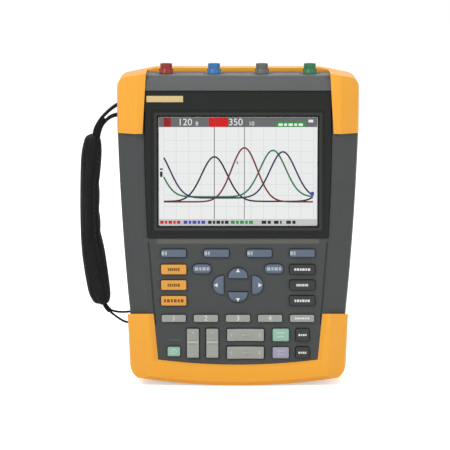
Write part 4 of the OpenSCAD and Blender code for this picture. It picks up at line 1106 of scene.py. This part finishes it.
screen["red_fields"] = ("red", [block(0.315, 0.0, 0.437, TOP_BAR, 3)] + dashes(0.006, 0.135))
screen["dark_field"] = ("dark_red", [block(0.03, 0.0, 0.075, TOP_BAR, 3)])
screen["green_fields"] = ("green", [block(0.74, 0.04, 0.923, TOP_BAR, 3)] + dashes(0.455, 0.595))
screen["blue_fields"] = ("blue", dashes(0.155, 0.292) + [block(0.962, 0.688, 0.982, 0.724, 4)])
screen["black_fields"] = ("black", dashes(0.31, 0.44)
                          + dashes(0.65, 0.865, (3, 1, 2, 2, 3, 1, 1, 3, 3, 1, 2))
                          + [block(0.492, 0.405, 0.498, 0.43, 4), block(0.006, 0.47, 0.024, 0.485, 4),
                             block(0.006, 0.5, 0.022, 0.55, 4)])
NUMBERS = (("120", 0.165, 0.045, 5.6), ("350", 0.485, 0.045, 5.6), ("8", 0.24, 0.058, 3.4),
           ("10", 0.585, 0.058, 3.4))
screen["numbers"] = ("white", [number(*row) for row in NUMBERS]
                     + dashes(0.755, 0.91, WORD, 0.055, 0.078, 4)
                     + [block(0.945, 0.02, 0.975, 0.045, 4)])
for name, (colour, parts) in screen.items():
    one_piece(name, parts, LIT[colour], "lcd_panel")
print("picture pieces", len(screen))

# %% [markdown]
# Each key carries a small printed mark. Its words are left out: the mode and tool keys get a row
# of short dashes, the channel keys plain numbers, the arrows a triangle and the power key a ring
# with a line. A mark rides the body of its key, so it moves when the key is pressed.

# %% Marks on the keys
MARK_T = 0.03 * MM


def face_of(node):
    """Middle and front of a key's face, and its size."""
    low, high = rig.box(node)
    return (low.x + high.x) / 2, low.y, (low.z + high.z) / 2, high.x - low.x, high.z - low.z


def ink_bar(x, z, w, h, front_y):
    """A short printed bar."""
    return slab(x - w / 2, x + w / 2, z - h / 2, z + h / 2, front_y - MARK_T, 2 * MARK_T)


def ink_dashes(x, z, width, height, front_y, shares):
    """A row of printed dashes in place of a word."""
    return [ink_bar(at + step / 2, z, step, height, front_y)
            for at, step in runs(x - width / 2, width, shares)]


def ink_arrow(x, z, size, front_y, turn):
    """A printed triangle that points up, turned by an angle seen from the front."""
    bpy.ops.mesh.primitive_cylinder_add(vertices=3, radius=size, depth=2 * MARK_T,
                                        location=(x, front_y, z),
                                        rotation=(math.pi / 2, 0, 0))
    mark = bpy.context.object
    bpy.ops.object.transform_apply(location=False, rotation=True, scale=True)
    top = max(v.co.z for v in mark.data.vertices)
    flip = 0 if sum(v.co.z > 0.9 * top for v in mark.data.vertices) == 2 else math.pi
    mark.rotation_euler = (0, turn + flip, 0)
    settle()
    return mark


def printed_mark(node, parts, ink):
    """Joins a key's marks and lets them ride the key."""
    one_piece(node.replace("_key", "") + "_mark", parts, INK[ink], node)


def words_on(node, ink, *rows):
    """Prints rows of dashes on a key: place, width and height in millimetres, then the shares."""
    x, y, z, w, h = face_of(node)
    parts = []
    for across, up, width, height, shares in rows:
        parts += ink_dashes(x + across * MM, z + up * MM, width * MM, height * MM, y, shares)
    printed_mark(node, parts, ink)


RIM = 2.6 * MM
for node, share, height, ink in (
        ("scope_key", 0.44, 2.5, "brown"), ("meter_key", 0.46, 2.5, "brown"),
        ("recorder_key", 0.74, 2.5, "brown"), ("cursor_key", 0.6, 1.9, "white"),
        ("zoom_key", 0.44, 1.9, "white"), ("replay_key", 0.58, 1.9, "white")):
    x, y, z, w, h = face_of(node)
    printed_mark(node, ink_dashes(x, z, (w - RIM) * share, height * MM, y, LONG_WORD), ink)
for node in ("save_key", "user_key"):
    words_on(node, "white", (0, 0, 6.4, 1.6, SHORT_WORD))
for node in ("clear_key", "enter_key"):
    words_on(node, "slate", (0, 0, 11.2, 2.5, SHORT_WORD))
for i in range(1, 5):
    words_on(f"soft_key_{i}", "slate", (-7.6, 0, 4.2, 3, (3, 1, 2)))
for figure, node in zip("1234", ("channel_a_key", "channel_b_key", "channel_c_key", "channel_d_key")):
    x, y, z, w, h = face_of(node)
    printed_mark(node, [figures(figure, x, z, 4.2 * MM, y - MARK_T, 2 * MARK_T)], "white")
words_on("trigger_key", "white", (0, 0, 11.5, 1.3, LONG_WORD))
ARROW, ARROW_OUT = 2 * MM, 1.6 * MM
for node, turn, across, up in (("arrow_up", 0, 0, 1), ("arrow_right", 90, 1, 0),
                               ("arrow_down", 180, 0, -1), ("arrow_left", -90, -1, 0)):
    x, y, z, w, h = face_of(node)
    printed_mark(node, [ink_arrow(x + across * ARROW_OUT, z + up * ARROW_OUT, ARROW, y,
                                  math.radians(turn))], "white")
TALL_END, WIDE_END = 5 * MM, 5.4 * MM
for node in ("range_rocker", "level_rocker"):
    x, y, z, w, h = face_of(node)
    printed_mark(node, [ink_bar(x, z + 0.8 * MM, w - 4.6 * MM, 1.8 * MM, y),
                        ink_bar(x, z + h / 2 - TALL_END, 1.5 * MM, 1.3 * MM, y),
                        ink_bar(x, z - h / 2 + TALL_END, 1.5 * MM, 0.6 * MM, y)], "pale")
for node in ("time_rocker", "position_rocker"):
    x, y, z, w, h = face_of(node)
    printed_mark(node, ink_dashes(x, z, 5.8 * MM, 1.3 * MM, y, SHORT_WORD)
                 + [ink_bar(x - w / 2 + WIDE_END, z, 0.8 * MM, 2.8 * MM, y),
                    ink_bar(x + w / 2 - WIDE_END, z, 1.3 * MM, 2.8 * MM, y)], "pale")
words_on("auto_key", "mint", (0, 1.9, 6.6, 1.2, SHORT_WORD), (0, -1.4, 5.4, 1.2, SHORT_WORD))
words_on("hold_key", "lilac", (0, 1.5, 5.4, 1.2, SHORT_WORD), (0, -1.5, 4.4, 1.2, SHORT_WORD))
x, y, z, w, h = face_of("power_key")
bpy.ops.mesh.primitive_torus_add(location=(x, y, z - 0.1 * MM), rotation=(math.pi / 2, 0, 0),
                                 major_radius=2 * MM, minor_radius=0.28 * MM, major_segments=32,
                                 minor_segments=8)
ring = bpy.context.object
ring.scale = (1, 1, 0.12)
settle()
printed_mark("power_key", [ring, ink_bar(x, z + 1.7 * MM, 0.55 * MM, 2.2 * MM, y)], "mint")
above_power = ink_dashes(x + 0.4 * MM, z + h / 2 + 3.6 * MM, 9 * MM, 1 * MM, face_y, LONG_WORD)
one_piece("power_caption", above_power, INK["dim"], "front_case")
print("marks made", sum(o.name.endswith("_mark") for o in bpy.data.objects))

# %% [markdown]
# The studio is plain: a pale floor, an even pale world, one soft lamp a little to the left and
# one fainter on the right. Their strengths are set so that a colour shows about as it is written.
# What the camera, glass and gloss see of the world is white, as behind a catalogue picture.

# %% Floor, world and lamps
def is_seen(tree):
    """One where a ray comes from the camera, glass or gloss, and zero where it carries light."""
    path = tree.nodes.new("ShaderNodeLightPath")
    return sum_of(tree, "MAXIMUM", path.outputs["Is Camera Ray"],
                  sum_of(tree, "MAXIMUM", path.outputs["Is Glossy Ray"],
                         path.outputs["Is Transmission Ray"]))


def pale_floor():
    """A wide white floor that keeps the object's shadow."""
    bpy.ops.mesh.primitive_plane_add(size=30, location=(0, 0, 0))
    floor = bpy.context.object
    floor.name = "floor"
    material, tree, shader, where = new_material("floor_white")
    plain(shader, 0.9, 0, (0.93, 0.93, 0.93, 1))
    shader.inputs["Emission Color"].default_value = (1, 1, 1, 1)
    glow = sum_of(tree, "MULTIPLY", is_seen(tree), 0.5)
    tree.links.new(glow, shader.inputs["Emission Strength"])
    floor.data.materials.append(material)
    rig.stage(floor)


def pale_world(strength):
    """An even world: white where it is seen, softer as a light."""
    world = bpy.data.worlds.new("studio")
    bpy.context.scene.world = world
    world.use_nodes = True
    tree = world.node_tree
    background = tree.nodes["Background"]
    background.inputs["Color"].default_value = (1, 1, 1, 1)
    tree.links.new(band(tree, is_seen(tree), 0, 1, strength, 1), background.inputs["Strength"])


def soft_lamp(name, place, size, power):
    """A square area lamp that looks at the middle of the object."""
    light = bpy.data.lights.new(name, "AREA")
    light.size = size
    light.energy = power
    lamp = placed(name, light)
    lamp.location = place
    target = Vector((0, 0, 0.13))
    lamp.rotation_euler = (target - Vector(place)).to_track_quat("-Z", "Y").to_euler()


pale_floor()
pale_world(0.55)
soft_lamp("lamp_left", (-1.1, -1.5, 1.6), 0.9, 26)
soft_lamp("lamp_right", (1.5, -1.2, 0.9), 1.2, 9)
soft_lamp("lamp_back", (0.2, 1.4, 1.5), 1.0, 14)
bpy.context.scene.view_settings.view_transform = "Standard"
print("lamps", len(bpy.data.lights))

# %% [markdown]
# Every named point is checked against what the camera sees of the finished mesh. Each vertex of the
# piece is shown in the picture, and only those that a ray from the camera reaches first count.

# %% Where the named things show
bpy.context.view_layer.update()
view = bpy.context.evaluated_depsgraph_get()


def seen(name, near=None, reach_px=6):
    """Picture places of a piece's vertices that show, kept near a picture height if given."""
    obj = bpy.data.objects[name]
    start = camera.matrix_world.translation
    found = []
    for vertex in obj.data.vertices:
        place = obj.matrix_world @ vertex.co
        x, y = shown_at(place)
        if near is not None and abs(y - near) > reach_px:
            continue
        reach = (place - start).length
        way = (place - start).normalized()
        met = bpy.context.scene.ray_cast(view, start, way)
        while met[0] and met[4].name == "display_window":
            met = bpy.context.scene.ray_cast(view, met[1] + 0.01 * MM * way, way)
        if met[0] and (met[1] - start).length > reach - 0.4 * MM:
            found.append((x, y))
    return found


def middle_of(found):
    """Middle of the box round what shows."""
    xs, ys = zip(*found)
    return (min(xs) + max(xs)) / 2, (min(ys) + max(ys)) / 2


def shows(point):
    """Where the thing of a named point shows."""
    aim_x, aim_y = POINTS[point]
    if point in ("left_edge", "right_edge"):
        side = min if point == "left_edge" else max
        return side(f[0] for f in seen("top_guard", aim_y, 16)), aim_y
    if point == "top_edge":
        return aim_x, min(f[1] for f in seen("bnc_blue"))
    if point in ("bottom_edge", "guard_lip"):
        side = max if point == "bottom_edge" else min
        return aim_x, side(f[1] for f in seen("bottom_guard") if abs(f[0] - aim_x) < 12)
    if point == "grip_left":
        return min(f[0] for f in seen("strap_pad", aim_y)), aim_y
    if point.startswith("picture_"):
        upper = point == "picture_upper_left"
        xs, ys = zip(*seen("top_bar" if upper else "low_bar"))
        return (min(xs), min(ys)) if upper else (max(xs), max(ys))
    if point.startswith("peak_"):
        found = seen("trace_" + point[5:])
        top = min(f[1] for f in found)
        crown = [f[0] for f in found if f[1] < top + 0.6]
        return sum(crown) / len(crown), top + 0.5 * TRACE_W / MM
    return middle_of(seen(POINT_PIECES[point]))


POINT_PIECES = {
    "input_red": "bnc_red", "input_blue": "bnc_blue", "input_grey": "bnc_grey",
    "input_green": "bnc_green", "plate": "bare_plate", "arrow_up": "arrow_up_cap",
    "power_key": "power_cap",
}
away = {}
for point in POINTS:
    try:
        x, y = shows(point)
        away[point] = {"x": round(x - POINTS[point][0], 2), "y": round(y - POINTS[point][1], 2)}
    except (ValueError, KeyError, ZeroDivisionError) as problem:
        away[point] = {"missing": str(problem)}
with open("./points.json", "w") as out:
    json.dump(away, out, indent=1)
print("points", away)

# %% [markdown]
# Last, the boxes of the model before and after are written out.

# %% Write the sizes and finish
visual_box = [list(corner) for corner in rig.bounds()]
with open("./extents.json", "w") as out:
    json.dump({"cad": cad_box, "visual": visual_box}, out)
print("visual box", visual_box)
